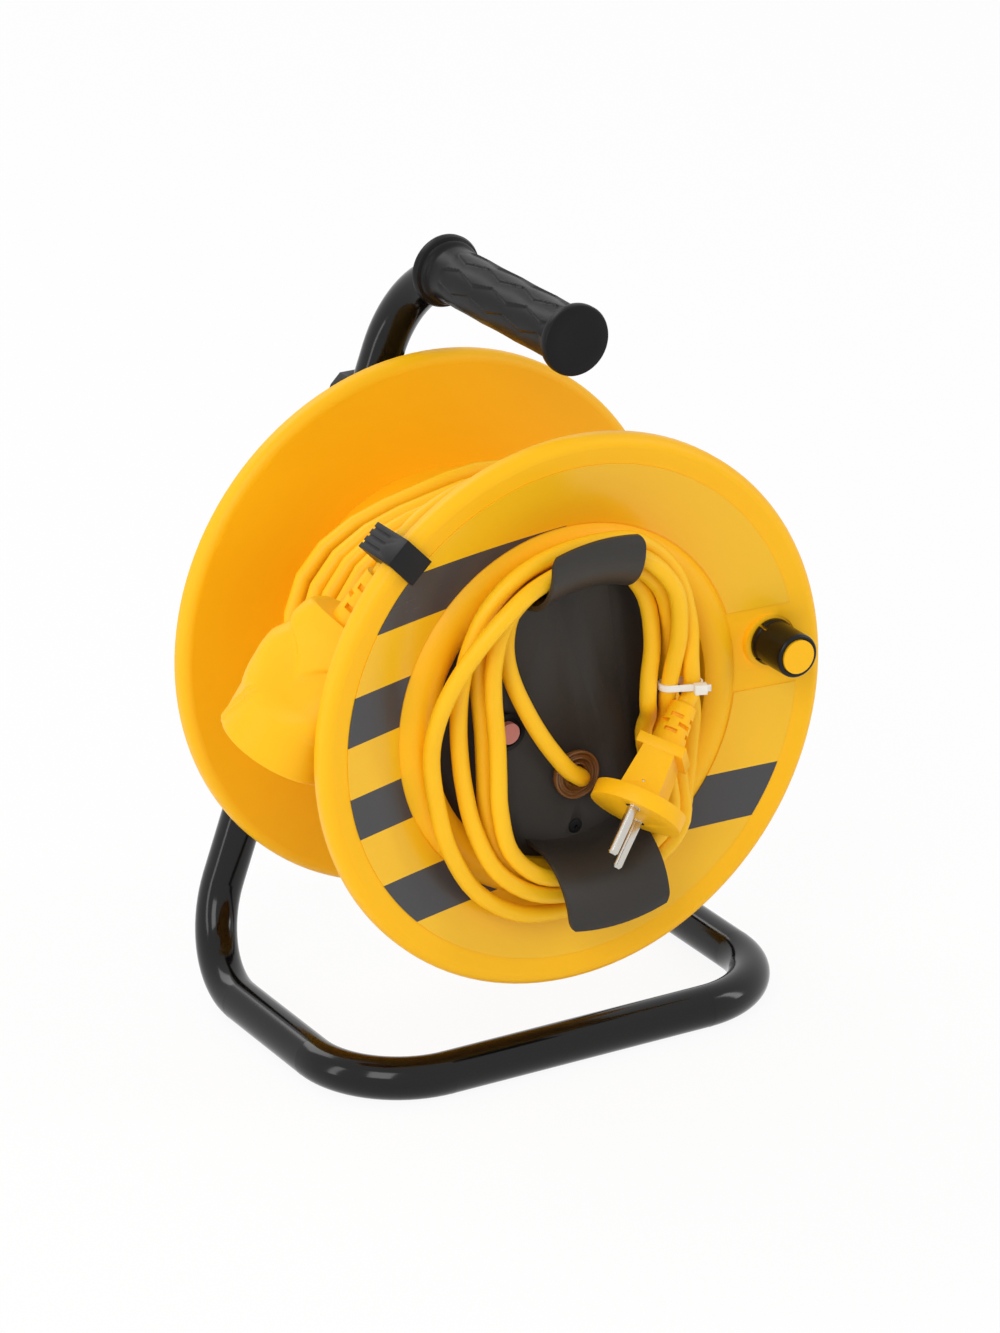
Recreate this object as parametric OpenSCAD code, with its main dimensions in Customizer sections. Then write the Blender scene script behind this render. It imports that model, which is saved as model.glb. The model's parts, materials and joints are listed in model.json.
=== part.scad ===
// Extension cord reel: a drum of cord on a bent tube stand.
// The drum turns on a short axle behind it. X is right, Y is back, Z is up, origin on the floor.

/* [Stand] */
// Height of the axle above the floor
axle_h = 140; // [130:1:160]
// Outer diameter of the stand's tube
tube_d = 16; // [12:0.5:18]
// Wall of the stand's tube
tube_wall = 1.2; // [0.8:0.1:2]
// Bend radius of the floor loop, on the tube's centre line
loop_bend_r = 36; // [25:1:42]
// Bend radius behind the handle
handle_bend_r = 38; // [25:1:42]
// Floor loop's reach to the left of the axle, on the tube's centre line
loop_left_w = 88; // [80:1:100]
// Floor loop's reach to the right of the axle, on the tube's centre line
loop_right_w = 95; // [80:1:100]
// Height of the handle above the axle
handle_rise = 136; // [130:1:150]
// How far the handle sits to the right of the axle
handle_x = 8; // [0:1:12]
// Height above the axle at which the right leg ends
stub_rise = 85; // [70:1:88]
// Distance from the rear rim to the legs' plane
leg_gap = 23.6; // [22:0.2:30]
// Distance from the front rim back to the front bar
front_bar_set = 2; // [0:1:12]

/* [Grip] */
// Length of the rubber grip
grip_len = 95; // [80:1:100]
// Diameter of the grip's body
grip_d = 21; // [20:0.5:26]
// Diameter of the grip's closed front disc
grip_disc_d = 26.5; // [26:0.5:30]
// Diameter of the grip's rear collar
grip_collar_d = 27.8; // [26:0.2:32]
// Thickness of the grip's closed end
grip_end_t = 4; // [2:0.5:6]
// Distance from the front rim back to the grip's end
grip_set = 12; // [8:1:16]

/* [Yoke] */
// Thickness of each yoke shell
shell_t = 12; // [11:0.5:13]
// Wall of the shells around the tubes and pockets
shell_wall = 3.5; // [2.5:0.1:4]
// Height of the shells above the axle
shell_rise = 90; // [88:1:98]
// Depth of the shells below the axle
shell_drop = 22; // [20:1:26]
// Diameter of the axle
axle_d = 10; // [8:0.5:12]
// Diameter of the axle's head
axle_head_d = 18; // [15:0.5:19]
// Thickness of the axle's head
axle_head_t = 4; // [3:0.5:6]
// Diameter of the shell screws
shell_screw_d = 5; // [3:0.5:6]

/* [Drum] */
// Outer diameter of the flanges
flange_d = 210; // [206:1:216]
// Distance between the two rims' centres
rim_pitch = 106.4; // [104:0.2:112]
// Radius of the rim's rounded edge
rim_r = 4; // [3.5:0.1:4.5]
// Wall of the moulded flanges
flange_t = 2.2; // [1.8:0.1:2.4]
// Outer radius of the drum core
core_r = 61.5; // [61:0.1:62]
// Length of the hub in the rear flange
hub_len = 30; // [24:1:34]
// Outer radius of the hub
hub_r = 14; // [13:0.5:18]
// Outer radius of the plastic bushes
bush_r = 8; // [7:0.1:9]
// Number of posts that join core and flanges
post_count = 4; // [3:1:6]
// Number of ribs on the back of the rear flange
rib_count = 8; // [4:1:12]
// Thickness of the glossy label film
label_t = 0.35; // [0.2:0.05:0.6]

/* [Cord] */
// Diameter of the cord
cord_d = 6.4; // [6:0.1:6.6]
// Space between neighbouring turns on the drum
turn_gap = 0.5; // [0.45:0.05:0.6]
// Turns in the outer layer on the drum
wound_turns = 7.5; // [5.5:1:9.5]
// Turns' width of the layers under it
under_turns = 10.5; // [9.5:0.5:13]

/* [Insert] */
// Thickness of the black insert
insert_t = 2; // [1.6:0.1:2.4]
// Radius of the horns' flare, on the inner face
flare_r = 22.5; // [21:0.5:24]
// Half width of the top horn
top_horn_half_w = 19; // [15:0.5:21]
// Half width of the bottom horn
bottom_horn_half_w = 21; // [15:0.5:22]
// Corner radius of the horns
horn_corner_r = 7; // [3:0.5:10]
// Diameter of the cord gland's flange
gland_d = 18.7; // [16:0.1:20]
// Diameter of the reset button
button_d = 8; // [6:0.5:9]
// Travel of the reset button
button_travel = 2; // [1.5:0.5:3]

/* [Plug and socket] */
// Diameter of the contact pins
pin_d = 4; // [3.9:0.1:4.8]
// Length of the contact pins
pin_len = 19; // [17:0.5:20]
// Distance between the contact pins
pin_pitch = 19; // [18.5:0.5:19.5]
// Diameter of the plug's disc
plug_disc_d = 35; // [32:0.5:36]
// Thickness of the plug's disc
plug_disc_t = 6; // [4:0.5:7]
// Thickness of the plug's body
plug_body_t = 15; // [12:0.5:16]
// Diameter of the socket's mouth
mouth_d = 45; // [44:0.5:47]
// Depth of the socket's recess
recess_depth = 16; // [12:1:18]

/* [Knob] */
// Diameter of the crank knob's sleeve
knob_d = 16.7; // [15.5:0.1:20]
// Length of the crank knob's sleeve
knob_len = 18.2; // [15:0.2:24]
// Diameter of the crank's post inside the sleeve
post_d = 12.9; // [11:0.1:13]

/* [Fits] */
// Radial clearance of a shaft that turns in a bore
run_fit = 0.05; // [0.02:0.01:0.09]
// Radial clearance between pieces that are fastened together
seat_fit = 0.05; // [0.02:0.01:0.08]
// Clearance between faces that pass each other
pass_gap = 0.2; // [0.1:0.05:0.4]

/* [Hidden] */

fine = 96;
small = 48;
front_y = -58;
tube_r = tube_d / 2;
cord_r = cord_d / 2;
through = 1;

// ---- stand: places along the depth, measured back from the front rim ----
leg_y = front_y + rim_pitch + leg_gap;
handle_z = axle_h + handle_rise;
loop_front_y = front_y + front_bar_set;
// Each leg's centre line at height h above the axle, with side -1 for the left leg and 1 for the right
function loop_w(side) = side < 0 ? loop_left_w : loop_right_w;
function leg_x(side, h) = side * (loop_w(side)
    - (loop_w(side) + handle_x) * (axle_h + h - tube_r) / (handle_z - tube_r));

// The stand's path as corner points, and the bend radius at each inner corner
stand_path = [[handle_x, front_y + grip_set + grip_end_t, handle_z],
              [handle_x, leg_y, handle_z],
              [-loop_left_w, leg_y, tube_r],
              [-loop_left_w, loop_front_y, tube_r],
              [loop_right_w, loop_front_y, tube_r],
              [loop_right_w, leg_y, tube_r],
              [leg_x(1, stub_rise), leg_y, axle_h + stub_rise]];
stand_bends = [0, handle_bend_r, loop_bend_r, loop_bend_r, loop_bend_r, loop_bend_r, 0];

function unit(v) = v / norm(v);
function turn_angle(u, v) = acos(u * v);
function column_matrix(x, y, z, o) = [[x[0], y[0], z[0], o[0]], [x[1], y[1], z[1], o[1]],
                                      [x[2], y[2], z[2], o[2]], [0, 0, 0, 1]];

// Puts children so that their +Z runs from point a towards point b
module aim(a, b, side = [0, 0, 1]) {
    z = unit(b - a);
    x = unit(side - (side * z) * z);
    multmatrix(column_matrix(x, cross(z, x), z, a)) children();
}

// A round pipe along corner points, with true straight and bent lengths.
// A thin collar laps each seam, so that the lengths join as one solid.
seam_len = 1;
seam_lap = 0.02;
module bent_pipe(path, bends, r_out, r_in) {
    last = len(path) - 1;
    dirs = [for (i = [0 : last - 1]) unit(path[i + 1] - path[i])];
    cut = [for (i = [0 : last])
        i == 0 || i == last ? 0 : bends[i] * tan(turn_angle(dirs[i - 1], dirs[i]) / 2)];
    for (i = [0 : last - 1]) {
        a = path[i] + dirs[i] * cut[i];
        b = path[i + 1] - dirs[i] * cut[i + 1];
        aim(a, b, [0.3, 0.5, 0.8]) difference() {
            cylinder(h = norm(b - a), r = r_out, $fn = fine);
            translate([0, 0, -through]) cylinder(h = norm(b - a) + 2 * through, r = r_in, $fn = fine);
        }
    }
    for (i = [1 : last - 1]) {
        u = dirs[i - 1];
        v = dirs[i];
        n = unit(v - (u * v) * u);
        centre = path[i] - u * cut[i] + n * bends[i];
        for (end = [[path[i] - u * cut[i], u], [path[i] + v * cut[i], v]])
            aim(end[0] - end[1] * seam_len / 2, end[0] + end[1], [0.3, 0.5, 0.8]) difference() {
                cylinder(h = seam_len, r = r_out + seam_lap, $fn = fine);
                translate([0, 0, -through])
                    cylinder(h = seam_len + 2 * through, r = r_in - seam_lap, $fn = fine);
            }
        multmatrix(column_matrix(-n, u, cross(-n, u), centre))
            rotate_extrude(angle = turn_angle(u, v), $fn = fine) translate([bends[i], 0]) difference() {
                circle(r = r_out, $fn = fine);
                circle(r = r_in, $fn = fine);
            }
    }
}

module frame_tube() {
    color("black") bent_pipe(stand_path, stand_bends, tube_r, tube_r - tube_wall);
}

grip_neck_len = 4;
grip_collar_t = 6;
grip_edge = 1.2;
grip_rear_play = 1;
grip_rear_y = front_y + grip_set + grip_len;
bend_start_y = leg_y - handle_bend_r;
leg_down = unit([-loop_left_w - handle_x, 0, tube_r - handle_z]);
// How far the grip reaches over the bend, and how far the tube has gone down the left leg by then
grip_over = grip_rear_y - bend_start_y;
grip_drop = handle_bend_r - sqrt(handle_bend_r * handle_bend_r - grip_over * grip_over);

// The grip's bore: straight, with a sloped relief where the grip reaches over the bend
module grip_bore() {
    translate([handle_x, front_y + grip_set + grip_end_t, handle_z]) rotate([-90, 0, 0])
        cylinder(h = grip_len, r = tube_r + seat_fit, $fn = fine);
    if (grip_over > 0)
        aim([handle_x, bend_start_y, handle_z], [handle_x, grip_rear_y, handle_z] + grip_drop * leg_down)
            cylinder(h = 2 * grip_over, r = tube_r + grip_rear_play, $fn = fine);
}

module handle_grip() {
    grip_r = grip_d / 2;
    disc_r = grip_disc_d / 2;
    collar_r = grip_collar_d / 2;
    color([0.13, 0.13, 0.13]) difference() {
        translate([handle_x, front_y + grip_set, handle_z]) rotate([-90, 0, 0]) rotate_extrude($fn = fine)
            polygon([[0, 0], [disc_r - grip_edge, 0], [disc_r, grip_edge],
                [disc_r, grip_end_t - grip_edge], [disc_r - grip_edge, grip_end_t], [grip_r, grip_end_t + 1],
                [grip_r, grip_len - grip_collar_t - grip_neck_len],
                [collar_r - grip_edge, grip_len - grip_collar_t],
                [collar_r, grip_len - grip_collar_t + grip_edge], [collar_r, grip_len - grip_edge],
                [collar_r - grip_edge, grip_len], [0, grip_len]]);
        grip_bore();
    }
}

end_plug_t = 2;
end_plug_len = 10;
module leg_end_plug() {
    foot = stand_path[5];
    top = stand_path[6];
    color([0.2, 0.2, 0.2]) aim(top, top + (top - foot), [0, 1, 0]) {
        cylinder(h = end_plug_t, r = tube_r, $fn = small);
        translate([0, 0, -end_plug_len])
            cylinder(h = end_plug_len, r = tube_r - tube_wall - seat_fit, $fn = small);
    }
}

// ---- yoke: two shells that meet in the legs' plane ----
function leg_slant(side) = norm([loop_w(side) + handle_x, handle_z - tube_r]) / (handle_z - tube_r);
function shell_edge(side) = (tube_r + shell_wall) * leg_slant(side);
function shell_x(side, h) = leg_x(side, h) + side * shell_edge(side);
function pocket_x(side, h) = leg_x(side, h) - side * shell_edge(side);
shell_floor_t = 3;
yoke_boss_r = 14;
screw_boss_r = 7;
screw_head_r = 4.5;
screw_head_t = 3;
low_screw_x = 24;
low_screw_h = -10;
high_screw_h = 56;
screw_places = [[0, high_screw_h], [-low_screw_x, low_screw_h], [low_screw_x, low_screw_h]];
rib_t = 2.4;
rib_rise = 30;
shell_corner = 4;

// Puts children in the legs' plane, drawn as (x, height above the axle), +Z towards the front
module in_leg_plane() translate([0, leg_y, axle_h]) rotate([90, 0, 0]) children();

module yoke_outline() {
    polygon([[shell_x(-1, shell_rise) + shell_corner, shell_rise],
             [shell_x(-1, shell_rise), shell_rise - shell_corner],
             [shell_x(-1, -shell_drop), -shell_drop + shell_corner],
             [shell_x(-1, -shell_drop) + shell_corner, -shell_drop],
             [shell_x(1, -shell_drop) - shell_corner, -shell_drop],
             [shell_x(1, -shell_drop), -shell_drop + shell_corner],
             [shell_x(1, shell_rise), shell_rise - shell_corner],
             [shell_x(1, shell_rise) - shell_corner, shell_rise]]);
}

module yoke_pockets() {
    low_h = -shell_drop + shell_wall;
    top_h = high_screw_h + screw_boss_r + shell_wall;
    difference() {
        polygon([[pocket_x(-1, low_h), low_h], [pocket_x(1, low_h), low_h],
                 [pocket_x(1, top_h), top_h], [pocket_x(-1, top_h), top_h]]);
        circle(r = yoke_boss_r, $fn = small);
        for (p = screw_places) translate(p) circle(r = screw_boss_r, $fn = small);
        translate([-rib_t / 2, low_h]) square([rib_t, top_h - low_h]);
        for (h = [-rib_t / 2, rib_rise])
            translate([-loop_left_w, h]) square([loop_left_w + loop_right_w, rib_t]);
    }
}

// One shell, from the legs' plane towards +Z, with its pockets open on the outside
module yoke_shell() {
    difference() {
        linear_extrude(height = shell_t) yoke_outline();
        translate([0, 0, shell_floor_t]) linear_extrude(height = shell_t) yoke_pockets();
        for (side = [-1, 1])
            aim([leg_x(side, -axle_h), -axle_h, 0], [leg_x(side, handle_rise), handle_rise, 0])
                cylinder(h = 2 * handle_z, r = tube_r + seat_fit, $fn = fine);
        translate([0, 0, -through])
            cylinder(h = shell_t + 2 * through, r = axle_d / 2 + seat_fit, $fn = small);
    }
}

screw_grip = 9;
module yoke_front() {
    color([0.1, 0.1, 0.1]) in_leg_plane() difference() {
        yoke_shell();
        for (p = screw_places) translate([p[0], p[1], -through])
            cylinder(h = screw_grip + through, r = shell_screw_d / 2 + seat_fit, $fn = small);
    }
}

module yoke_rear() {
    color([0.1, 0.1, 0.1]) in_leg_plane() mirror([0, 0, 1]) difference() {
        yoke_shell();
        for (p = screw_places) translate([p[0], p[1], -through])
            cylinder(h = shell_t + 2 * through, r = shell_screw_d / 2 + seat_fit, $fn = small);
        for (p = screw_places) translate([p[0], p[1], shell_t - screw_head_t])
            cylinder(h = screw_head_t + through, r = screw_head_r + pass_gap, $fn = small);
        translate([0, 0, shell_t - axle_head_t])
            cylinder(h = axle_head_t + through, r = axle_head_d / 2 + pass_gap, $fn = small);
    }
}

module yoke_screws() {
    color("silver") in_leg_plane() for (p = screw_places) translate([p[0], p[1], 0]) difference() {
        union() {
            translate([0, 0, -shell_t]) cylinder(h = screw_head_t, r = screw_head_r, $fn = small);
            translate([0, 0, -shell_t])
                cylinder(h = shell_t + screw_grip - 1, r = shell_screw_d / 2, $fn = small);
        }
        translate([0, 0, -shell_t - through]) cylinder(h = 2 + through, r = 1.6, $fn = 6);
    }
}

// ---- axle stack, along the axle from the yoke to the inside of the drum ----
washer_t = 1.8;
washer_r = 10;
bush_flange_t = 2;
bush_flange_r = 11;
yoke_face = -(rim_pitch + leg_gap - shell_t);
rear_washer_z = yoke_face;
rear_bush_z = rear_washer_z + washer_t + pass_gap;
hub_rear_z = rear_bush_z + bush_flange_t;
hub_front_z = hub_rear_z + hub_len;
front_washer_z = hub_front_z + bush_flange_t + pass_gap;
nut_z = front_washer_z + washer_t;
nut_t = 7;
nut_flat_r = 8.5;
bush_len = 12;

// Puts children on the drum: x right, y up, z towards the front from the front rim's centre
module on_drum() translate([0, front_y, axle_h]) rotate([90, 0, 0]) children();

module axle_bolt() {
    head_z = yoke_face - 2 * shell_t;
    color("silver") on_drum() difference() {
        union() {
            translate([0, 0, head_z]) cylinder(h = axle_head_t, r = axle_head_d / 2, $fn = small);
            translate([0, 0, head_z]) cylinder(h = nut_z + nut_t + 1 - head_z, r = axle_d / 2, $fn = small);
        }
        translate([0, 0, head_z - through]) cylinder(h = 2.5 + through, r = 4, $fn = 6);
    }
}

module washer(z) {
    translate([0, 0, z]) difference() {
        cylinder(h = washer_t, r = washer_r, $fn = small);
        translate([0, 0, -through])
            cylinder(h = washer_t + 2 * through, r = axle_d / 2 + seat_fit, $fn = small);
    }
}

module axle_washers() {
    color("silver") on_drum() {
        washer(rear_washer_z);
        washer(front_washer_z);
    }
}

module axle_nut() {
    color("silver") on_drum() translate([0, 0, nut_z]) difference() {
        cylinder(h = nut_t, r = nut_flat_r, $fn = 6);
        translate([0, 0, -through]) cylinder(h = nut_t + 2 * through, r = axle_d / 2 + seat_fit, $fn = small);
    }
}

// A flanged bush with its flange below z = 0 and its sleeve above
module bush() {
    difference() {
        union() {
            translate([0, 0, -bush_flange_t]) cylinder(h = bush_flange_t, r = bush_flange_r, $fn = small);
            cylinder(h = bush_len, r = bush_r, $fn = small);
        }
        translate([0, 0, -bush_flange_t - through])
            cylinder(h = bush_len + bush_flange_t + 2 * through, r = axle_d / 2 + run_fit, $fn = small);
    }
}

module front_bush() {
    color("white") on_drum() translate([0, 0, hub_front_z]) mirror([0, 0, 1]) bush();
}

module rear_bush() {
    color("white") on_drum() translate([0, 0, hub_rear_z]) bush();
}

// ---- drum: flange sections, drawn as (radius, z) ----
rim_c = flange_d / 2 - rim_r;
rim_leg = 2.4;
dish_tilt = 12.5;
dish_in_r = 70.5;
dish_in_z = -3.5;
dish_out_r = rim_c - rim_r * sin(dish_tilt);
dish_out_z = dish_in_z + (dish_out_r - dish_in_r) * tan(dish_tilt);
rim_z = dish_out_z - rim_r * cos(dish_tilt);
ring_c = [63, -8.5];
ring_r = 9;
mouth_r = 57;
spigot_r = core_r - flange_t;
bulkhead_z = -18;
bulkhead_t = 2;
bulkhead_bore_r = 38;
seat_z = -4;
horn_turn = 4;
horn_screw_r = 47;
horn_boss_r = 4;
horn_screw_d = 3;
post_circle_r = 50;
post_r = 4;
post_screw_d = 3;
post_screw_len = 12;
post_turn = 45;
rear_web_z = -rim_pitch + 4.4;
rear_spigot_len = 10;
core_rear_z = rear_web_z;
core_front_z = seat_z;
function dish_z(r) = dish_in_z + (dish_out_z - dish_in_z) * (r - dish_in_r) / (dish_out_r - dish_in_r);

// The rim: the dish runs on into a rounded edge with a short leg
module rim_section() {
    translate([rim_c, rim_z]) intersection() {
        difference() {
            circle(r = rim_r, $fn = small);
            circle(r = rim_r - flange_t, $fn = small);
        }
        translate([dish_out_r - rim_c, 0]) square(2 * rim_r);
    }
    translate([rim_c + rim_r - flange_t, rim_z - rim_leg]) square([flange_t, rim_leg]);
}

rim_lap = 0.5;
// One sloped wall of a flange, from the rim in to radius r at height z
module web_section(out_z, r, z) {
    polygon([[r, z], [r, z - flange_t], [dish_out_r, out_z - flange_t],
             [dish_out_r + rim_lap, out_z - flange_t + rim_lap], [dish_out_r + rim_lap, out_z - rim_lap],
             [dish_out_r, out_z]]);
}

module ring_section() {
    intersection() {
        difference() {
            translate(ring_c) circle(r = ring_r, $fn = fine);
            translate(ring_c) circle(r = ring_r - flange_t, $fn = fine);
        }
        translate([mouth_r, ring_c[1] + 2]) square([dish_in_r - mouth_r + 0.6, ring_r]);
    }
}

crank_place = [rim_c - 17.2, 11];
crank_boss_r = 10.4;
crank_boss_lip = 0.6;

module insert_turn() rotate([0, 0, horn_turn]) children();

module front_flange() {
    lip_z = ring_c[1] + sqrt(ring_r * ring_r - (ring_c[0] - mouth_r) * (ring_c[0] - mouth_r));
    color([0.99, 0.69, 0.07]) on_drum() difference() {
        union() {
            rotate_extrude($fn = fine) {
                rim_section();
                ring_section();
                web_section(dish_out_z, dish_in_r - 0.4, dish_z(dish_in_r - 0.4));
                translate([mouth_r, bulkhead_z - bulkhead_t])
                    square([spigot_r - seat_fit - mouth_r, lip_z - bulkhead_z + bulkhead_t - 0.2]);
                translate([mouth_r, core_front_z]) square([core_r - mouth_r, lip_z - core_front_z - 0.2]);
                translate([bulkhead_bore_r, bulkhead_z - bulkhead_t])
                    square([mouth_r + 1 - bulkhead_bore_r, bulkhead_t]);
            }
            insert_turn() for (side = [-1, 1]) translate([0, side * horn_screw_r, bulkhead_z - 1])
                cylinder(h = insert_back_z - bulkhead_z + 1, r = horn_boss_r, $fn = small);
            translate([crank_place[0], crank_place[1], dish_z(dish_in_r)])
                cylinder(h = crank_z - dish_z(dish_in_r), r = crank_boss_r, $fn = small);
        }
        insert_turn() for (side = [-1, 1])
            translate([0, side * horn_screw_r, bulkhead_z - bulkhead_t - through])
                cylinder(h = 30, r = horn_screw_d / 2 + seat_fit, $fn = small);
        for (i = [0 : post_count - 1]) rotate([0, 0, post_turn + i * 360 / post_count])
            translate([post_circle_r, 0, bulkhead_z - bulkhead_t - through])
                cylinder(h = 2 * bulkhead_t + through, r = post_screw_d / 2 + seat_fit, $fn = small);
        translate([crank_place[0], crank_place[1], dish_in_z - 3 * flange_t])
            cylinder(h = 30, r = crank_stem_r + seat_fit, $fn = small);
        translate([crank_place[0], crank_place[1], crank_z])
            cylinder(h = 10, r = crank_boss_r - crank_boss_lip, $fn = small);
        for (x = [terminal_x - terminal_screw_off, terminal_x + terminal_screw_off])
            translate([x, 0, bulkhead_z - bulkhead_t - through])
                cylinder(h = 2 * bulkhead_t + through, r = terminal_screw_d / 2 + seat_fit, $fn = small);
        for (side = [-1, 1])
            translate([-terminal_x, side * clamp_screw_off, bulkhead_z - bulkhead_t - through])
                cylinder(h = 2 * bulkhead_t + through, r = terminal_screw_d / 2 + seat_fit, $fn = small);
    }
}

module rear_flange() {
    ring_rib_r = mouth_r + 5;
    rib_depth = 6;
    color([0.99, 0.69, 0.07]) on_drum() difference() {
        union() {
            rotate_extrude($fn = fine) {
                translate([0, -rim_pitch]) rim_section();
                web_section(dish_out_z - rim_pitch, ring_rib_r, rear_web_z);
                translate([hub_r - 2, rear_web_z - flange_t]) square([ring_rib_r - hub_r + 2, flange_t]);
                translate([mouth_r, rear_web_z - 1])
                    square([spigot_r - seat_fit - mouth_r, rear_spigot_len + 1]);
                translate([ring_rib_r, rear_web_z - rib_depth]) square([rib_t, rib_depth - 0.4]);
                translate([0, hub_rear_z]) square([hub_r, hub_len]);
            }
            for (i = [0 : rib_count - 1]) rotate([0, 0, (i + 0.5) * 360 / rib_count])
                translate([hub_r - 1, -rib_t / 2, rear_web_z - rib_depth])
                    cube([ring_rib_r - hub_r + 2, rib_t, rib_depth - 1]);
            for (i = [0 : post_count - 1]) rotate([0, 0, post_turn + i * 360 / post_count])
                translate([post_circle_r, 0, rear_web_z - 1])
                    cylinder(h = rear_spigot_len + 1, r = post_r, $fn = small);
        }
        translate([0, 0, hub_rear_z - through])
            cylinder(h = hub_len + 2 * through, r = bush_r + seat_fit, $fn = small);
        for (i = [0 : post_count - 1]) rotate([0, 0, post_turn + i * 360 / post_count])
            translate([post_circle_r, 0, rear_web_z - rib_depth])
                cylinder(h = rear_spigot_len + 2 * rib_depth, r = post_screw_d / 2 + seat_fit, $fn = small);
    }
}

core_hole_r = 3.8;
core_hole_z = -74;
module drum_core() {
    post_front_z = bulkhead_z - bulkhead_t;
    post_rear_z = rear_web_z + rear_spigot_len;
    color([0.95, 0.65, 0.08]) on_drum() difference() {
        union() {
            translate([0, 0, core_rear_z]) difference() {
                cylinder(h = core_front_z - core_rear_z, r = core_r, $fn = fine);
                translate([0, 0, -through])
                    cylinder(h = core_front_z - core_rear_z + 2 * through, r = spigot_r, $fn = fine);
            }
            for (i = [0 : post_count - 1]) rotate([0, 0, post_turn + i * 360 / post_count]) {
                translate([post_circle_r, 0, post_rear_z])
                    cylinder(h = post_front_z - post_rear_z, r = post_r, $fn = small);
                translate([post_circle_r + post_r - 1, -1.5, post_rear_z])
                    cube([spigot_r - post_circle_r - post_r + 2, 3, post_front_z - post_rear_z]);
            }
        }
        for (i = [0 : post_count - 1]) rotate([0, 0, post_turn + i * 360 / post_count])
            translate([post_circle_r, 0, post_rear_z - through])
                cylinder(h = post_front_z - post_rear_z + 2 * through,
                         r = post_screw_d / 2 + seat_fit, $fn = small);
        translate([-core_r, 0, core_hole_z]) rotate([0, 90, 0])
            cylinder(h = 4 * flange_t, r = core_hole_r, center = true, $fn = small);
    }
}

// A pan-head screw: head above z = 0, shank below, cross recess as a square
module pan_screw(d, length, head_r, head_t) {
    difference() {
        union() {
            cylinder(h = head_t, r = head_r, $fn = small);
            translate([0, 0, -length]) cylinder(h = length, r = d / 2, $fn = small);
        }
        translate([0, 0, head_t - 0.8]) cylinder(h = 1.5, r = d / 3, $fn = 4);
    }
}

post_head_r = 2.8;
post_head_t = 1.8;
module front_flange_screws() {
    color("silver") on_drum() for (i = [0 : post_count - 1])
        rotate([0, 0, post_turn + i * 360 / post_count]) translate([post_circle_r, 0, bulkhead_z])
            pan_screw(post_screw_d, post_screw_len, post_head_r, post_head_t);
}

module rear_flange_screws() {
    color("silver") on_drum() for (i = [0 : post_count - 1])
        rotate([0, 0, post_turn + i * 360 / post_count])
            translate([post_circle_r, 0, rear_web_z - flange_t]) mirror([0, 0, 1])
                pan_screw(post_screw_d, post_screw_len + rear_spigot_len, post_head_r, post_head_t);
}

// Glossy film on the dished part of the front flange, open in a strip that holds the crank
label_strip_half = 16;
label_strip_turn = 4;
label_margin = 0.4;
label_out_r = rim_c - 6.7;
module label_ring() {
    in_r = dish_in_r + label_margin;
    out_r = label_out_r;
    color([0.94, 0.72, 0.2]) on_drum() difference() {
        rotate_extrude($fn = fine)
            polygon([[in_r, dish_z(in_r)], [out_r, dish_z(out_r)],
                     [out_r, dish_z(out_r) + label_t], [in_r, dish_z(in_r) + label_t]]);
        rotate([0, 0, label_strip_turn]) translate([0, crank_place[1] - 8 - label_strip_half, -10])
            cube([flange_d, 2 * label_strip_half, 20]);
    }
}

// ---- crank: a post on the front flange with a loose sleeve ----
crank_z = 0.4;
crank_stem_r = 4;
crank_stem_len = 6;
crank_snap_r = 7.1;
crank_snap_t = 1.2;
crank_snap_z = 9;
crank_gap = 0.4;
module crank_post() {
    color([1, 0.75, 0.12]) on_drum() translate([crank_place[0], crank_place[1], crank_z]) {
        cylinder(h = crank_gap + knob_len + 0.5, r = post_d / 2, $fn = small);
        translate([0, 0, -crank_stem_len]) cylinder(h = crank_stem_len, r = crank_stem_r, $fn = small);
        translate([0, 0, crank_snap_z]) cylinder(h = crank_snap_t, r = crank_snap_r, $fn = small);
    }
}

knob_slot_w = 3;
knob_slot_depth = 3.5;
module knob_sleeve() {
    color([0.08, 0.07, 0.07]) on_drum()
        translate([crank_place[0], crank_place[1], crank_z + crank_gap]) difference() {
            union() {
                cylinder(h = knob_len, r = knob_d / 2, $fn = small);
                cylinder(h = 2.2, r = knob_d / 2 + 0.6, $fn = small);
            }
            translate([0, 0, -through])
                cylinder(h = knob_len + 2 * through, r = post_d / 2 + run_fit, $fn = small);
            translate([0, 0, crank_snap_z - crank_gap - pass_gap])
                cylinder(h = crank_snap_t + 2 * pass_gap, r = crank_snap_r + run_fit, $fn = small);
            for (turn = [0, 90]) rotate([0, 0, turn]) translate([0, 0, knob_slot_depth / 2 - through])
                cube([2 * knob_d, knob_slot_w, knob_slot_depth], center = true);
        }
}

// ---- insert: a plate with two flared horns that hold the plug's tail ----
insert_r = mouth_r - 0.3;
insert_front_z = -4;
insert_flat_half = 25;
insert_slope = 0.32;
insert_back_z = insert_front_z - insert_t;
insert_skirt_t = 2;
horn_base_r = 50.5;
horn_base_z = 3;
horn_tip_len = 2;
gland_place = [2.8, -25.9];
button_place = [-26, -3.5];
gland_stem_r = 6;
cutout_neck_r = 5.6;
horn_head_r = 2.6;
horn_head_t = 1.2;

// The plate's section across its width: flat in the middle and sloping back at both sides
module plate_section(drop) {
    edge = insert_r + 2;
    edge_z = insert_front_z - insert_slope * (edge - insert_flat_half) - drop;
    polygon([[-edge, edge_z], [-insert_flat_half, insert_front_z - drop],
             [insert_flat_half, insert_front_z - drop], [edge, edge_z],
             [edge, 2 * bulkhead_z], [-edge, 2 * bulkhead_z]]);
}

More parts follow.
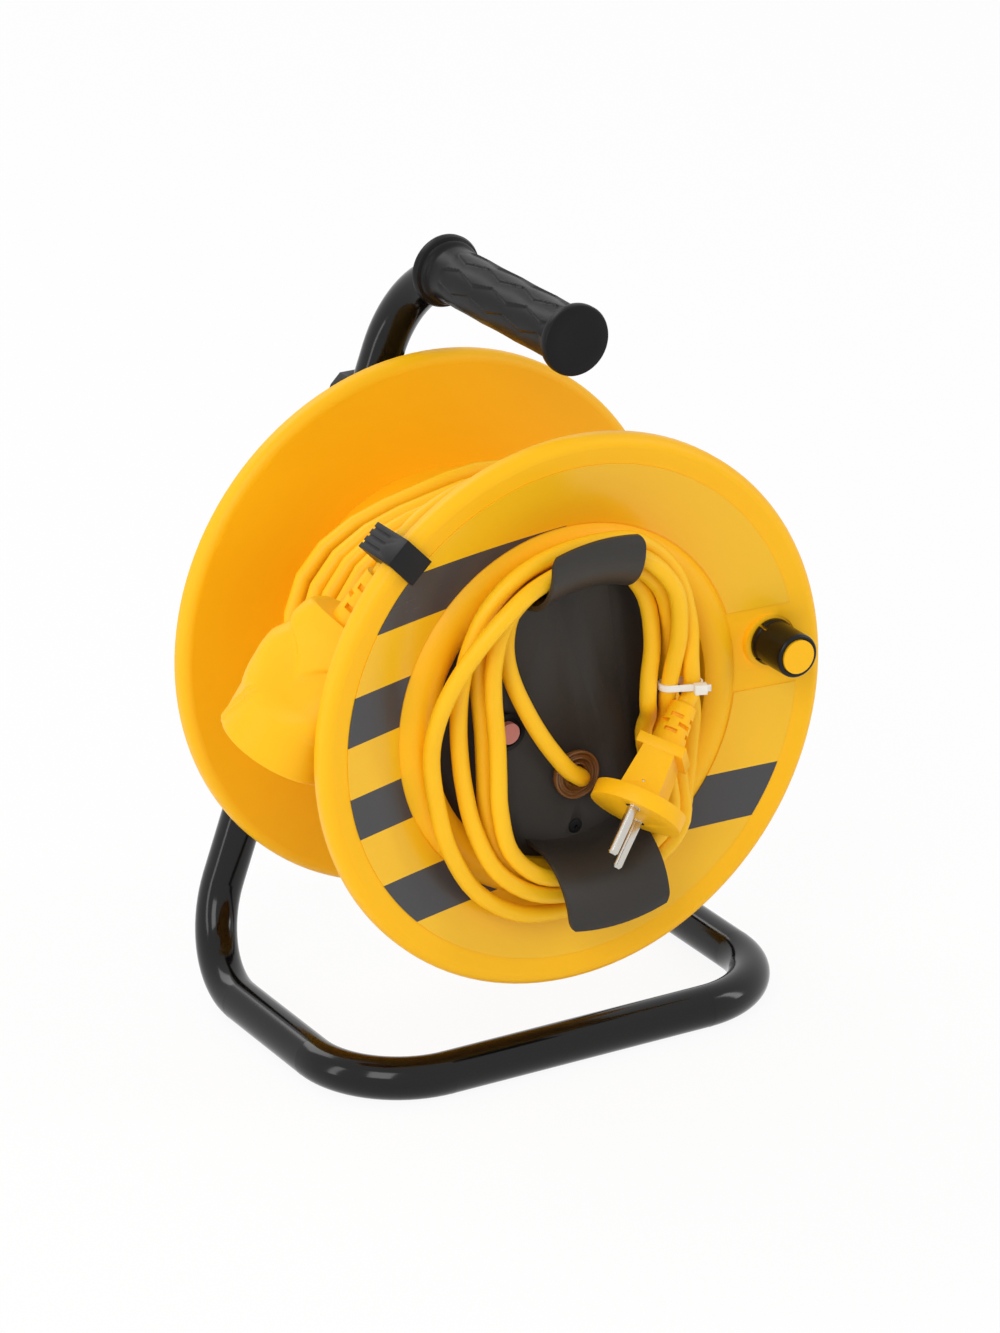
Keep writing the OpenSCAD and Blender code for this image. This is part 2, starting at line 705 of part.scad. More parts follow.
module plate_solid(r, drop) {
    intersection() {
        translate([0, 0, bulkhead_z]) cylinder(h = -bulkhead_z, r = r, $fn = fine);
        translate([0, r + 1, 0]) rotate([90, 0, 0]) linear_extrude(height = 2 * r + 2) plate_section(drop);
    }
}

module horn(half_w) {
    flare_c = horn_base_r + flare_r;
    intersection() {
        rotate_extrude($fn = fine) {
            translate([horn_base_r, insert_back_z]) square([insert_t, horn_base_z - insert_back_z]);
            intersection() {
                difference() {
                    translate([flare_c, horn_base_z]) circle(r = flare_r, $fn = fine);
                    translate([flare_c, horn_base_z]) circle(r = flare_r - insert_t, $fn = fine);
                }
                translate([horn_base_r, horn_base_z]) square([flare_r, flare_r]);
            }
            translate([flare_c, horn_base_z + flare_r - insert_t]) square([horn_tip_len, insert_t]);
        }
        translate([0, 0, insert_back_z]) linear_extrude(height = 2 * flare_r) {
            translate([-half_w, horn_base_r - 12])
                square([2 * half_w, flare_r + 12 + horn_tip_len - horn_corner_r]);
            for (side = [-1, 1])
                translate([side * (half_w - horn_corner_r), flare_c + horn_tip_len - horn_corner_r])
                    circle(r = horn_corner_r, $fn = small);
            translate([horn_corner_r - half_w, horn_base_r])
                square([2 * (half_w - horn_corner_r), flare_r + horn_tip_len]);
        }
    }
}

module cord_horns() {
    color([0.2, 0.19, 0.18]) on_drum() difference() {
        insert_turn() {
            difference() {
                plate_solid(insert_r, 0);
                translate([0, 0, -0.001]) plate_solid(insert_r - insert_skirt_t, insert_t);
                for (side = [-1, 1]) translate([0, side * horn_screw_r, insert_back_z - through])
                    cylinder(h = insert_t + 2 * through, r = horn_screw_d / 2 + seat_fit, $fn = small);
                for (side = [-1, 1]) translate([0, side * horn_screw_r, insert_front_z - horn_head_t])
                    cylinder(h = horn_head_t + through, r = horn_head_r + pass_gap, $fn = small);
            }
            horn(top_horn_half_w);
            rotate([0, 0, 180]) horn(bottom_horn_half_w);
        }
        translate([gland_place[0], gland_place[1], insert_back_z - through])
            cylinder(h = insert_t + 2 * through, r = gland_stem_r + seat_fit, $fn = small);
        translate([button_place[0], button_place[1], insert_back_z - 2 * through])
            cylinder(h = insert_t + 4 * through, r = cutout_neck_r + seat_fit, $fn = small);
    }
}

horn_screw_len = 10;
module horn_screws() {
    color("silver") on_drum() insert_turn() for (side = [-1, 1])
        translate([0, side * horn_screw_r, insert_front_z - horn_head_t])
            pan_screw(horn_screw_d, horn_screw_len, horn_head_r, horn_head_t);
}

gland_flange_t = 2.5;
gland_seat_z = -8;
gland_rear_z = -16;
gland_nut_t = 4;
module cord_gland() {
    color([0.45, 0.25, 0.08, 0.8]) on_drum() translate([gland_place[0], gland_place[1], 0]) difference() {
        union() {
            translate([0, 0, insert_front_z]) cylinder(h = gland_flange_t, r = gland_d / 2, $fn = small);
            translate([0, 0, gland_rear_z])
                cylinder(h = insert_front_z - gland_rear_z, r = gland_stem_r, $fn = small);
        }
        translate([0, 0, gland_seat_z]) cylinder(h = 20, r = cord_r + 0.25, $fn = small);
        translate([0, 0, gland_rear_z - through]) cylinder(h = 20, r = cord_r - 0.8, $fn = small);
        translate([0, 0, insert_front_z + 0.5])
            cylinder(h = gland_flange_t, r1 = cord_r + 0.5, r2 = gland_d / 2 - 1.4, $fn = small);
    }
}

module gland_nut() {
    color([0.2, 0.2, 0.2]) on_drum()
        translate([gland_place[0], gland_place[1], insert_back_z - gland_nut_t]) difference() {
            cylinder(h = gland_nut_t, r = gland_stem_r + 3, $fn = 6);
            translate([0, 0, -through])
                cylinder(h = gland_nut_t + 2 * through, r = gland_stem_r + seat_fit, $fn = small);
        }
}

// ---- thermal cut-out: body behind the plate, neck through it, button in the neck ----
cutout_half = 7;
cutout_len = 16;
cutout_top_z = insert_back_z - pass_gap
    - insert_slope * (cutout_half + 1 - button_place[0] - insert_flat_half);
button_top_z = -1.2;
button_len = 9;
button_foot_t = 1.5;
module cutout_body() {
    color([0.15, 0.15, 0.15]) on_drum() translate([button_place[0], button_place[1], 0]) difference() {
        union() {
            translate([-cutout_half, -cutout_half, cutout_top_z - cutout_len])
                cube([2 * cutout_half, 2 * cutout_half, cutout_len]);
            translate([0, 0, cutout_top_z - 1])
                cylinder(h = insert_front_z + 1.4 - cutout_top_z, r = cutout_neck_r, $fn = small);
        }
        translate([0, 0, button_top_z - button_len])
            cylinder(h = 2 * button_len, r = button_d / 2 + run_fit, $fn = small);
        translate([0, 0, button_top_z - button_len - button_travel - pass_gap])
            cylinder(h = button_foot_t + button_travel + 2 * pass_gap,
                     r = button_d / 2 + 1 + run_fit, $fn = small);
    }
}

module cutout_nut() {
    color([0.15, 0.15, 0.15]) on_drum()
        translate([button_place[0], button_place[1], insert_front_z]) difference() {
            cylinder(h = 1.2, r = cutout_neck_r + 1.6, $fn = small);
            translate([0, 0, -through]) cylinder(h = 4, r = cutout_neck_r + seat_fit, $fn = small);
        }
}

module reset_button() {
    color([0.85, 0.55, 0.52]) on_drum() translate([button_place[0], button_place[1], 0]) {
        translate([0, 0, button_top_z - button_len]) cylinder(h = button_len, r = button_d / 2, $fn = small);
        translate([0, 0, button_top_z - button_len])
            cylinder(h = button_foot_t, r = button_d / 2 + 1, $fn = small);
    }
}

// ---- wiring fittings on the back of the bulkhead ----
terminal_x = 47;
terminal_size = [15, 26, 12];
terminal_screw_d = 2.5;
terminal_screw_off = 5;
clamp_size = [10, 26, 8];
clamp_screw_off = 9;
terminal_back_z = bulkhead_z - bulkhead_t;
module terminal_block() {
    color("ivory") on_drum() translate([terminal_x, 0, terminal_back_z - terminal_size[2]]) difference() {
        translate([-terminal_size[0] / 2, -terminal_size[1] / 2, 0]) cube(terminal_size);
        for (x = [-terminal_screw_off, terminal_screw_off]) translate([x, 0, -through])
            cylinder(h = terminal_size[2] + 2 * through, r = terminal_screw_d / 2 + seat_fit, $fn = small);
        for (side = [-1, 1]) translate([-terminal_size[0], side * 8, terminal_size[2] / 2])
            rotate([0, 90, 0]) cylinder(h = 2 * terminal_size[0], r = 2, $fn = small);
    }
}

module terminal_screws() {
    color("silver") on_drum() for (x = [-terminal_screw_off, terminal_screw_off])
        translate([terminal_x + x, 0, terminal_back_z - terminal_size[2]]) mirror([0, 0, 1])
            pan_screw(terminal_screw_d, terminal_size[2] + bulkhead_t, 2.2, 1.4);
}

module cord_clamp() {
    color("ivory") on_drum() translate([-terminal_x, 0, terminal_back_z - clamp_size[2]]) difference() {
        translate([-clamp_size[0] / 2, -clamp_size[1] / 2, 0]) cube(clamp_size);
        translate([-clamp_size[0], 0, clamp_size[2] - 1.5]) rotate([0, 90, 0])
            cylinder(h = 2 * clamp_size[0], r = cord_r, $fn = small);
        for (side = [-1, 1]) translate([0, side * clamp_screw_off, -through])
            cylinder(h = clamp_size[2] + 2 * through, r = terminal_screw_d / 2 + seat_fit, $fn = small);
    }
}

module clamp_screws() {
    color("silver") on_drum() for (side = [-1, 1])
        translate([-terminal_x, side * clamp_screw_off, terminal_back_z - clamp_size[2]]) mirror([0, 0, 1])
            pan_screw(terminal_screw_d, clamp_size[2] + bulkhead_t, 2.2, 1.4);
}

// ---- cords: a tube of rings swept along points, closed with fans at both ends ----
function path_dir(p, i) = i == 0 ? unit(p[1] - p[0])
    : i == len(p) - 1 ? unit(p[i] - p[i - 1])
    : unit(unit(p[i + 1] - p[i]) + unit(p[i] - p[i - 1]));
function carry(n, t) = unit(n - (n * t) * t);
function ring_normals(p, first) = [for (i = 0, n = carry(first, path_dir(p, 0)); i < len(p);
    i = i + 1, n = i < len(p) ? carry(n, path_dir(p, i)) : n) n];
module cord_tube(p, r, sides, first) {
    normals = ring_normals(p, first);
    rings = [for (i = [0 : len(p) - 1]) let (n = normals[i], b = cross(path_dir(p, i), n))
        for (k = [0 : sides - 1]) p[i] + r * (cos(k * 360 / sides) * n + sin(k * 360 / sides) * b)];
    last = (len(p) - 1) * sides;
    walls = [for (i = [0 : len(p) - 2]) for (k = [0 : sides - 1])
        let (a = i * sides + k, b = i * sides + (k + 1) % sides)
        for (f = [[a, a + sides, b + sides], [a, b + sides, b]]) f];
    caps = [for (k = [1 : sides - 2]) for (f = [[0, k, k + 1], [last, last + k + 1, last + k]]) f];
    polyhedron(points = rings, faces = concat(walls, caps));
}
function least_gap(p, skip, r) = min([for (i = [0 : len(p) - 1]) for (j = [i + skip : 1 : len(p) - 1])
    norm(p[i] - p[j])]) - 2 * r;

loop_rings = 24;
cord_sides = 6;

// The outer layer on the drum runs clockwise and to the rear, its rear end meets the layer below
turn_pitch = cord_d + turn_gap;
layer_r = 70.5;
wound_front_z = -11;
wound_start_turn = 60;
climb_arc = 14;
layer_under_r = 66.5;
wound_steps = round(wound_turns * loop_rings);
wound_end_turn = wound_start_turn - 360 * wound_turns;
wound_end_z = wound_front_z - turn_pitch * wound_turns;
function wound_point(i) = let (a = wound_start_turn - i * 360 / loop_rings)
    [layer_r * cos(a), layer_r * sin(a), wound_front_z - turn_pitch * i / loop_rings];
function clockwise(a) = [sin(a), -cos(a), 0];
wound_first = wound_point(0) - cord_d * clockwise(wound_start_turn);
wound_last = wound_point(wound_steps) + cord_d * clockwise(wound_end_turn);
wound_points = concat([wound_first], [for (i = [0 : wound_steps]) wound_point(i)], [wound_last]);

module winding_core() {
    low_z = wound_front_z + cord_r - turn_pitch * under_turns;
    color([1, 0.72, 0.1]) on_drum() difference() {
        union() {
            translate([0, 0, low_z]) cylinder(h = ring_c[1] + 1 - low_z, r = layer_under_r, $fn = fine);
            intersection() {
                translate([0, 0, wound_end_z - cord_r])
                    cylinder(h = cord_d, r = layer_r + cord_r, $fn = fine);
                translate(wound_last - [0, 0, 2 * cord_d]) rotate([0, 0, wound_end_turn - 90])
                    translate([0, -2 * cord_d, 0]) cube([climb_arc, 4 * cord_d, 4 * cord_d]);
            }
        }
        translate([0, 0, low_z - through]) cylinder(h = rim_pitch, r = core_r + pass_gap, $fn = fine);
    }
}

module cord_winding() {
    color([1, 0.77, 0.12]) on_drum() cord_tube(wound_points, cord_r, cord_sides, [0, 0, 1]);
}

// The socket's lead: from its sleeve through the rim clip and in to the winding
// Each place is [turn, share of the way from the winding out to the rim, z].
function rim_place(p) = let (r = layer_r + p[1] * (rim_c - layer_r)) [r * cos(p[0]), r * sin(p[0]), p[2]];
socket_dir = unit([0.418, 0.871, 0.26]);
socket_stub = 7.5;
clip_place = rim_place([134.9, 0.875, -12]);
socket_end = clip_place - socket_stub * socket_dir;
lead_run = [[124, 0.96, -10.4], [114, 0.88, -10.6], [104, 0.7, -10.8], [94, 0.49, -11], [84, 0.27, -11]];
lead_points = concat([socket_end, clip_place, clip_place + 7 * socket_dir], [for (p = lead_run) rim_place(p)],
    [wound_first - 7 * clockwise(wound_start_turn), wound_first]);
lead_sides = 10;
module connector_lead() {
    color([1, 0.77, 0.12]) on_drum() cord_tube(lead_points, cord_r, lead_sides, [0, 0, 1]);
}

// The plug's tail: out of the gland, then four and a bit turns round the horns.
// Each pass names its reach and height over the top horn, at the right, at the lower right,
// at both ends of the bottom horn and at the left. It keeps its reach over the span of the top horn.
pass_angles = [115, 73, 4, -25, -62, -110, -176];
pass_slots = [0, 0, 1, 2, 3, 4, 5];
stretch_rings = [3, 4, 2, 3, 3, 4, 5];
passes = [
    [[56.6, 3], [26.4, 8], [32.8, 0], [62.5, 4], [62.5, 4], [38, 0]],
    [[63.9, 4.2], [47.8, 0.8], [54.5, 0.2], [69.6, 3.4], [76, 5.5], [61.7, 4]],
    [[64, 17], [34.6, 8], [40.1, 0], [59.5, 10.5], [59.5, 10.5], [36.8, 8]],
    [[59.5, 10.5], [39.3, 0.8], [47.2, 0], [66.4, 9.8], [66.4, 9.8], [49, 2]],
    [[68.5, 10.8], [42.5, 11.6]]];
// Extra height at the middle of a stretch, where one strand rides over another: [pass, stretch, rise]
rides = [[0, 1, -1], [1, 1, 0.6], [1, 3, 2.3], [1, 6, 3.5], [2, 1, 2.3], [2, 3, 4], [3, 3, 3.8]];
last_pass = len(passes) - 1;
last_stretch = len(pass_angles) - 1;
leave_top = 1;
function smooth(t) = (1 - cos(180 * t)) / 2;
function ease(s, t) = smooth(s == leave_top ? pow(t, 0.8) : t);
function sum(list) = list * [for (x = list) 1];
function ride(k, s, t) = sin(180 * t) * sum([for (m = rides) m[0] == k && m[1] == s ? m[2] : 0]);
function pass_end(k, s) = s < last_stretch ? passes[k][pass_slots[s + 1]] : passes[k + 1][0];
function pass_point(k, s, t) =
    let (a = pass_angles[s],
         b = s < last_stretch ? pass_angles[s + 1] : pass_angles[0] - 360,
         turn = a + t * (b - a),
         from = passes[k][pass_slots[s]],
         q = from + ease(s, t) * (pass_end(k, s) - from))
    [q[0] * cos(turn), q[0] * sin(turn), q[1] + ride(k, s, t)];
coil_points = [for (k = [0 : last_pass]) for (s = [0 : k < last_pass ? last_stretch : 1])
    for (i = [0 : stretch_rings[s] - 1]) pass_point(k, s, i / stretch_rings[s])];
tail_start = [[2.8, -25.9, gland_seat_z], [2.8, -25.9, -0.5], [0.6, -24.3, 3.8], [-5.8, -19.2, 5.5],
              [-13, -9.9, 5.5], [-18.5, -1.2, 5], [-23.2, 8, 4.2], [-26.8, 16.6, 3.2],
              [-29, 24.5, 2.4], [-29.8, 32, 2], [-29, 39.5, 2], [-26.8, 46, 2.4]];
plug_top = [38.7, -1, 13];
plug_run = [-39.8, -46.1, 16.9];
plug_dir = unit(plug_run);
tail_points = concat(tail_start, coil_points, [plug_top - cord_d * plug_dir, plug_top]);
module tail_coil() {
    color([1, 0.77, 0.12]) on_drum() cord_tube(tail_points, cord_r, cord_sides, [1, 0, 0]);
}
echo(winding_least_gap = least_gap(wound_points, loop_rings - 4, cord_r));
echo(tail_least_gap = least_gap(tail_points, 8, cord_r));

// ---- socket on the other end of the cord: z runs from its mouth to its sleeve ----
socket_body_len = 56;
socket_sleeve_len = 20.5;
socket_sleeve_r = 7.5;
socket_mouth = socket_end - (socket_body_len + socket_sleeve_len) * socket_dir;
contact_len = 16;
module in_socket() aim(socket_mouth, socket_end, [0.304, -0.396, 0.866]) children();

// The body is round at the mouth and flattens to a grip towards the sleeve
module connector_body() {
    mouth_r = mouth_d / 2;
    wing_t = 14;
    neck_t = 12;
    neck_r = socket_sleeve_r + 1;
    half = [[mouth_r + 1, -1], [mouth_r + 1, 20], [wing_t, 30], [neck_t, 50], [neck_r, socket_body_len + 1]];
    color([1, 0.75, 0.12]) on_drum() in_socket() difference() {
        intersection() {
            rotate_extrude($fn = fine) polygon([[0, 0], [mouth_r - 1, 0], [mouth_r, 1], [mouth_r, 6],
                [mouth_r + 0.3, 20], [mouth_r + 1, 30], [mouth_r + 0.8, 37], [mouth_r - 2.5, 43],
                [mouth_r - 4.2, 52], [neck_r, socket_body_len], [0, socket_body_len]]);
            rotate([90, 0, 90]) translate([0, 0, -mouth_d]) linear_extrude(height = 2 * mouth_d)
                polygon(concat(half, [for (i = [len(half) - 1 : -1 : 0]) [-half[i][0], half[i][1]]]));
        }
        translate([0, 0, -through]) cylinder(h = recess_depth + through, r = plug_disc_d / 2 + 1, $fn = fine);
        for (side = [-1, 1]) translate([side * pin_pitch / 2, 0, recess_depth - through])
            cylinder(h = pin_len + through, r = pin_d / 2 + 0.45, $fn = small);
    }
}

module connector_contacts() {
    color("gold") on_drum() in_socket() for (side = [-1, 1])
        translate([side * pin_pitch / 2, 0, recess_depth + pin_len - contact_len]) difference() {
            cylinder(h = contact_len, r = pin_d / 2 + 0.4, $fn = small);
            translate([0, 0, -through])
                cylinder(h = contact_len - 1, r = pin_d / 2 + run_fit, $fn = small);
        }
}

// A strain relief with rows of slots, z towards the cord
module slotted_sleeve(length, r_low, r_top, rows) {
    step = (length - 8) / rows;
    difference() {
        cylinder(h = length, r1 = r_low, r2 = r_top, $fn = small);
        for (i = [0 : rows - 1]) for (turn = [0 : 90 : 270])
            rotate([0, 0, turn + 45 * (i % 2)]) translate([r_top - 1.2, -2.4, 5 + i * step])
                cube([r_low, 4.8, step * 0.5]);
    }
}

module connector_sleeve() {
    color([1, 0.75, 0.12]) on_drum() in_socket() translate([0, 0, socket_body_len])
        slotted_sleeve(socket_sleeve_len, socket_sleeve_r, 5, 3);
}

// ---- clip that holds the lead on the front rim ----
clip_turn = 134;
clip_half_w = 5.5;
clip_out = 3;
clip_jaw_t = 2;
clip_cord_wall = 1.2;
clip_gap = 0.3;
module rim_clip() {
    outer = flange_d / 2 + clip_out;
    cord_in = norm([clip_place[0], clip_place[1]]) - cord_r - clip_cord_wall;
    front = rim_z + rim_r + clip_jaw_t;
    split = rim_z - rim_leg - clip_gap;
    rear = clip_place[2] - cord_r - clip_cord_wall;
    color([0.08, 0.08, 0.08]) on_drum() difference() {
        rotate([0, 0, clip_turn]) translate([0, -clip_half_w, 0]) {
            translate([cord_in, 0, rear]) cube([outer - cord_in, 2 * clip_half_w, split - rear]);
            translate([label_out_r, 0, split - 1])
                cube([outer - label_out_r, 2 * clip_half_w, front - split + 1]);
        }
        rotate_extrude($fn = fine) polygon([[dish_in_r, split], [flange_d / 2 + clip_gap, split],
            [flange_d / 2 + clip_gap, rim_z + rim_r + clip_gap], [rim_c, rim_z + rim_r + clip_gap],
            [dish_in_r, dish_in_z + 2 * clip_gap]]);
        translate(clip_place - 15 * socket_dir) aim([0, 0, 0], socket_dir)
            cylinder(h = 30, r = cord_r + 0.15, $fn = small);
        for (i = [-1 : 1]) rotate([0, 0, clip_turn]) translate([outer - 0.8, i * 3 - 0.5, rear - through])
            cube([2, 1, split - rear]);
    }
}

// ---- tie that bundles the plug's cord with the strand beside it ----
tie_w = 2.6;
tie_t = 0.8;
tie_a = [34.8, 6.5, 8.9];
tie_b = [42.4, 6.5, 11.65];
module tie_outline(r) {
    span = norm(tie_b - tie_a);
    circle(r = r, $fn = small);
    translate([span, 0]) circle(r = r, $fn = small);
    translate([0, -r]) square([span, 2 * r]);
}

module cable_tie() {
    across = unit(tie_b - tie_a);
    in_r = cord_r + 0.3;
    head = [4.6, 3.4, 3.8];
    color([0.95, 0.93, 0.85, 0.8]) on_drum()
        multmatrix(column_matrix(across, cross([0, -1, 0], across), [0, -1, 0], tie_a)) {
            translate([0, 0, -tie_w / 2]) linear_extrude(height = tie_w) difference() {
                tie_outline(in_r + tie_t);
                tie_outline(in_r);
            }
            translate([norm(tie_b - tie_a), in_r + tie_t - 0.5, -head[2] / 2]) cube(head);
            translate([norm(tie_b - tie_a) + head[0] - 0.6, in_r + tie_t + 0.6, -tie_w / 2])
                cube([7, tie_t, tie_w]);
        }
}

// ---- plug: z runs from its sleeve to its pin tips, x along the pair of pins ----
plug_len = norm(plug_run);
plug_side = [-0.546, 0.532, 0.642];
plug_sleeve_len = 17;
pin_foot = 4;
pin_foot_wall = 0.8;
module in_plug() aim(plug_top, plug_top + plug_dir, plug_side) children();
plug_disc_z = plug_len - pin_len - plug_disc_t;
module plug_sleeve() {
    color([1, 0.75, 0.12]) on_drum() in_plug() translate([0, 0, plug_sleeve_len]) mirror([0, 0, 1])
        slotted_sleeve(plug_sleeve_len, 6.6, 4.8, 3);
}

module plug_body() {
    neck_half = 9.5;
    foot_half = 13;
    neck_t = 11.5;
    ear_size = [20.6, 18, 4];
    color([1, 0.75, 0.12]) on_drum() in_plug() difference() {
        union() {
            translate([0, 0, plug_disc_z]) cylinder(h = plug_disc_t, r = plug_disc_d / 2, $fn = fine);
            intersection() {
                translate([0, plug_body_t, 0]) rotate([90, 0, 0]) linear_extrude(height = 2 * plug_body_t)
                    polygon([[-neck_half, plug_sleeve_len], [neck_half, plug_sleeve_len],
                             [foot_half, plug_disc_z + 0.5], [-foot_half, plug_disc_z + 0.5]]);
                rotate([90, 0, 90]) translate([0, 0, -2 * foot_half]) linear_extrude(height = 4 * foot_half)
                    polygon([[-neck_t / 2, plug_sleeve_len], [neck_t / 2, plug_sleeve_len],
                             [plug_body_t / 2, plug_disc_z + 0.5], [-plug_body_t / 2, plug_disc_z + 0.5]]);
            }
            translate([-ear_size[0] / 2, -ear_size[1] / 2, plug_sleeve_len]) cube(ear_size);
        }
        for (side = [-1, 1]) translate([side * pin_pitch / 2, 0, plug_disc_z - pin_foot])
            cylinder(h = 2 * pin_len, r = pin_d / 2 + pin_foot_wall + seat_fit, $fn = small);
    }
}

module plug_pins() {
    color("silver") on_drum() in_plug() for (side = [-1, 1])
        translate([side * pin_pitch / 2, 0, plug_disc_z - pin_foot]) {
            cylinder(h = pin_foot + plug_disc_t, r = pin_d / 2 + pin_foot_wall, $fn = small);
            cylinder(h = pin_foot + plug_disc_t + pin_len - 1, r = pin_d / 2, $fn = small);
            translate([0, 0, pin_foot + plug_disc_t + pin_len - 1])
                cylinder(h = 1, r1 = pin_d / 2, r2 = pin_d / 2 - 0.8, $fn = small);
        }
}

frame_tube();
handle_grip();
leg_end_plug();
yoke_front();
yoke_rear();
yoke_screws();
axle_bolt();
axle_washers();
axle_nut();
front_flange();
rear_flange();
drum_core();
front_flange_screws();
rear_flange_screws();
front_bush();
rear_bush();
label_ring();
cord_horns();
horn_screws();
cord_gland();
gland_nut();
cutout_body();
cutout_nut();
reset_button();
terminal_block();
terminal_screws();
cord_clamp();
clamp_screws();
crank_post();
knob_sleeve();
winding_core();
cord_winding();
connector_lead();
connector_sleeve();
connector_body();
connector_contacts();
rim_clip();
tail_coil();
cable_tie();
plug_sleeve();
plug_body();
plug_pins();
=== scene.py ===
# Extension cord reel: camera, cords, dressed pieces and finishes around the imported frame.
import bpy
import bmesh
import json
import math
from mathutils import Matrix, Vector, kdtree


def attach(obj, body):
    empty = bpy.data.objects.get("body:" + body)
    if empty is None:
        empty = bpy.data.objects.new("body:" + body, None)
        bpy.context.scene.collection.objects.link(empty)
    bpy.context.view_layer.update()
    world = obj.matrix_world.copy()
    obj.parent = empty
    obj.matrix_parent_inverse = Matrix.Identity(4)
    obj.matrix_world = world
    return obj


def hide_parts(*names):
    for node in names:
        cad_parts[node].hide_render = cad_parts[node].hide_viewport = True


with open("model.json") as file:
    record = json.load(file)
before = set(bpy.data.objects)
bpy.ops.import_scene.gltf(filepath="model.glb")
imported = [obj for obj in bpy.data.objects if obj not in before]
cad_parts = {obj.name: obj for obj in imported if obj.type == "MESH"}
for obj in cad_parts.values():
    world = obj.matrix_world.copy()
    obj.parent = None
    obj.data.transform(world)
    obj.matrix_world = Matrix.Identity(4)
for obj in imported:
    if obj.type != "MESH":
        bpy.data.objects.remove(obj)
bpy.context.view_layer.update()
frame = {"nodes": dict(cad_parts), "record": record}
nodes = frame["nodes"]
bpy.ops.object.select_all(action="DESELECT")
bodyOf = {n: b for b, members in frame["record"]["behaviour"]["bodies"].items() for n in members}
slotOf = {s["node"]: s["material_slot"] for s in frame["record"]["subparts"]}
print("frame loaded,", len(nodes), "nodes")

scene = bpy.context.scene
scene.view_settings.view_transform = "Standard"
axleHeight = 0.14
frontRimY = -0.058


def onDrum(x, y, z):  # drum millimetres from the front rim's centre: right, up, to the front
    return Vector((x / 1000, frontRimY - z / 1000, axleHeight + y / 1000))


def drumDirection(x, y, z):
    return Vector((x, -z, y)).normalized()


def lookFrame(right, up, back, place):  # a matrix from three axes and a place
    m = Matrix((right, up, back)).transposed().to_4x4()
    m.translation = place
    return m


def squareTo(side, axis):  # what is left of side when it has to stand square to axis
    return (side - axis * side.dot(axis)).normalized()


# camera
cameraView = {"lens": 155.0, "sensor": 36, "nearest": 0.05, "farthest": 100,
              "place": (-0.99125, -1.69126, 0.92982), "right": (0.86203, -0.50686, 0.0),
              "up": (0.18993, 0.32301, 0.92714), "back": (-0.46993, -0.79922, 0.37471)}
bpy.ops.object.camera_add()
camera = bpy.context.object
camera.name = "reelCamera"
camera.data.lens = cameraView["lens"]
camera.data.sensor_width = cameraView["sensor"]
camera.data.clip_start = cameraView["nearest"]
camera.data.clip_end = cameraView["farthest"]
camera.matrix_world = lookFrame(Vector(cameraView["right"]), Vector(cameraView["up"]),
                                Vector(cameraView["back"]), Vector(cameraView["place"]))
scene.camera = camera
print("camera placed")


# colours and shared shader effects
def shade(r, g, b):  # a screen colour, 0 to 255, as the linear colour a shader wants
    def linear(c):
        c = c / 255
        return c / 12.92 if c <= 0.04045 else ((c + 0.055) / 1.055) ** 2.4
    return (linear(r), linear(g), linear(b), 1)


def newGroup(name, inputs, outputs):
    group = bpy.data.node_groups.new(name, "ShaderNodeTree")
    for label, kind, value in inputs:
        socket = group.interface.new_socket(label, in_out="INPUT", socket_type=kind)
        if value is not None:
            socket.default_value = value
    for label, kind in outputs:
        group.interface.new_socket(label, in_out="OUTPUT", socket_type=kind)
    return group, group.nodes.new("NodeGroupInput"), group.nodes.new("NodeGroupOutput")


def addNode(tree, kind, **values):
    node = tree.nodes.new(kind)
    for key, value in values.items():
        if key in node.inputs:
            node.inputs[key].default_value = value
        else:
            setattr(node, key, value)
    return node


def mathNode(tree, operation, a, b, clamp=False):
    node = tree.nodes.new("ShaderNodeMath")
    node.operation = operation
    node.use_clamp = clamp
    for i, value in enumerate((a, b)):
        if hasattr(value, "is_output"):
            tree.links.new(value, node.inputs[i])
        else:
            node.inputs[i].default_value = value
    return node.outputs[0]


grainLook = {"scale": 400.0, "swell": 12.0, "swellShare": 0.5}


def buildGrain(look):  # fine moulded grain with a slow swell under it
    group, ins, outs = newGroup("mouldedGrain", [
        ("Coords", "NodeSocketVector", None), ("Scale", "NodeSocketFloat", look["scale"]),
        ("Swell", "NodeSocketFloat", look["swell"])],
        [("Height", "NodeSocketFloat"), ("Tone", "NodeSocketFloat")])
    fineNoise = addNode(group, "ShaderNodeTexNoise", Detail=2.0, Roughness=0.6)
    slowNoise = addNode(group, "ShaderNodeTexNoise", Detail=3.0, Roughness=0.55)
    group.links.new(ins.outputs["Coords"], fineNoise.inputs["Vector"])
    group.links.new(ins.outputs["Coords"], slowNoise.inputs["Vector"])
    group.links.new(ins.outputs["Scale"], fineNoise.inputs["Scale"])
    group.links.new(ins.outputs["Swell"], slowNoise.inputs["Scale"])
    swell = mathNode(group, "MULTIPLY", slowNoise.outputs["Fac"], look["swellShare"])
    height = mathNode(group, "ADD", fineNoise.outputs["Fac"], swell)
    group.links.new(height, outs.inputs["Height"])
    group.links.new(slowNoise.outputs["Fac"], outs.inputs["Tone"])
    return group


scuffLook = {"scale": 60.0, "amount": 0.3, "stretch": (1.0, 1.0, 9.0), "slant": (0.5, 0.7, 0.3),
             "markFrom": 0.6, "markContrast": 9.0,
             "patchScale": 9.0, "patchFrom": 0.45, "patchContrast": 5.0}


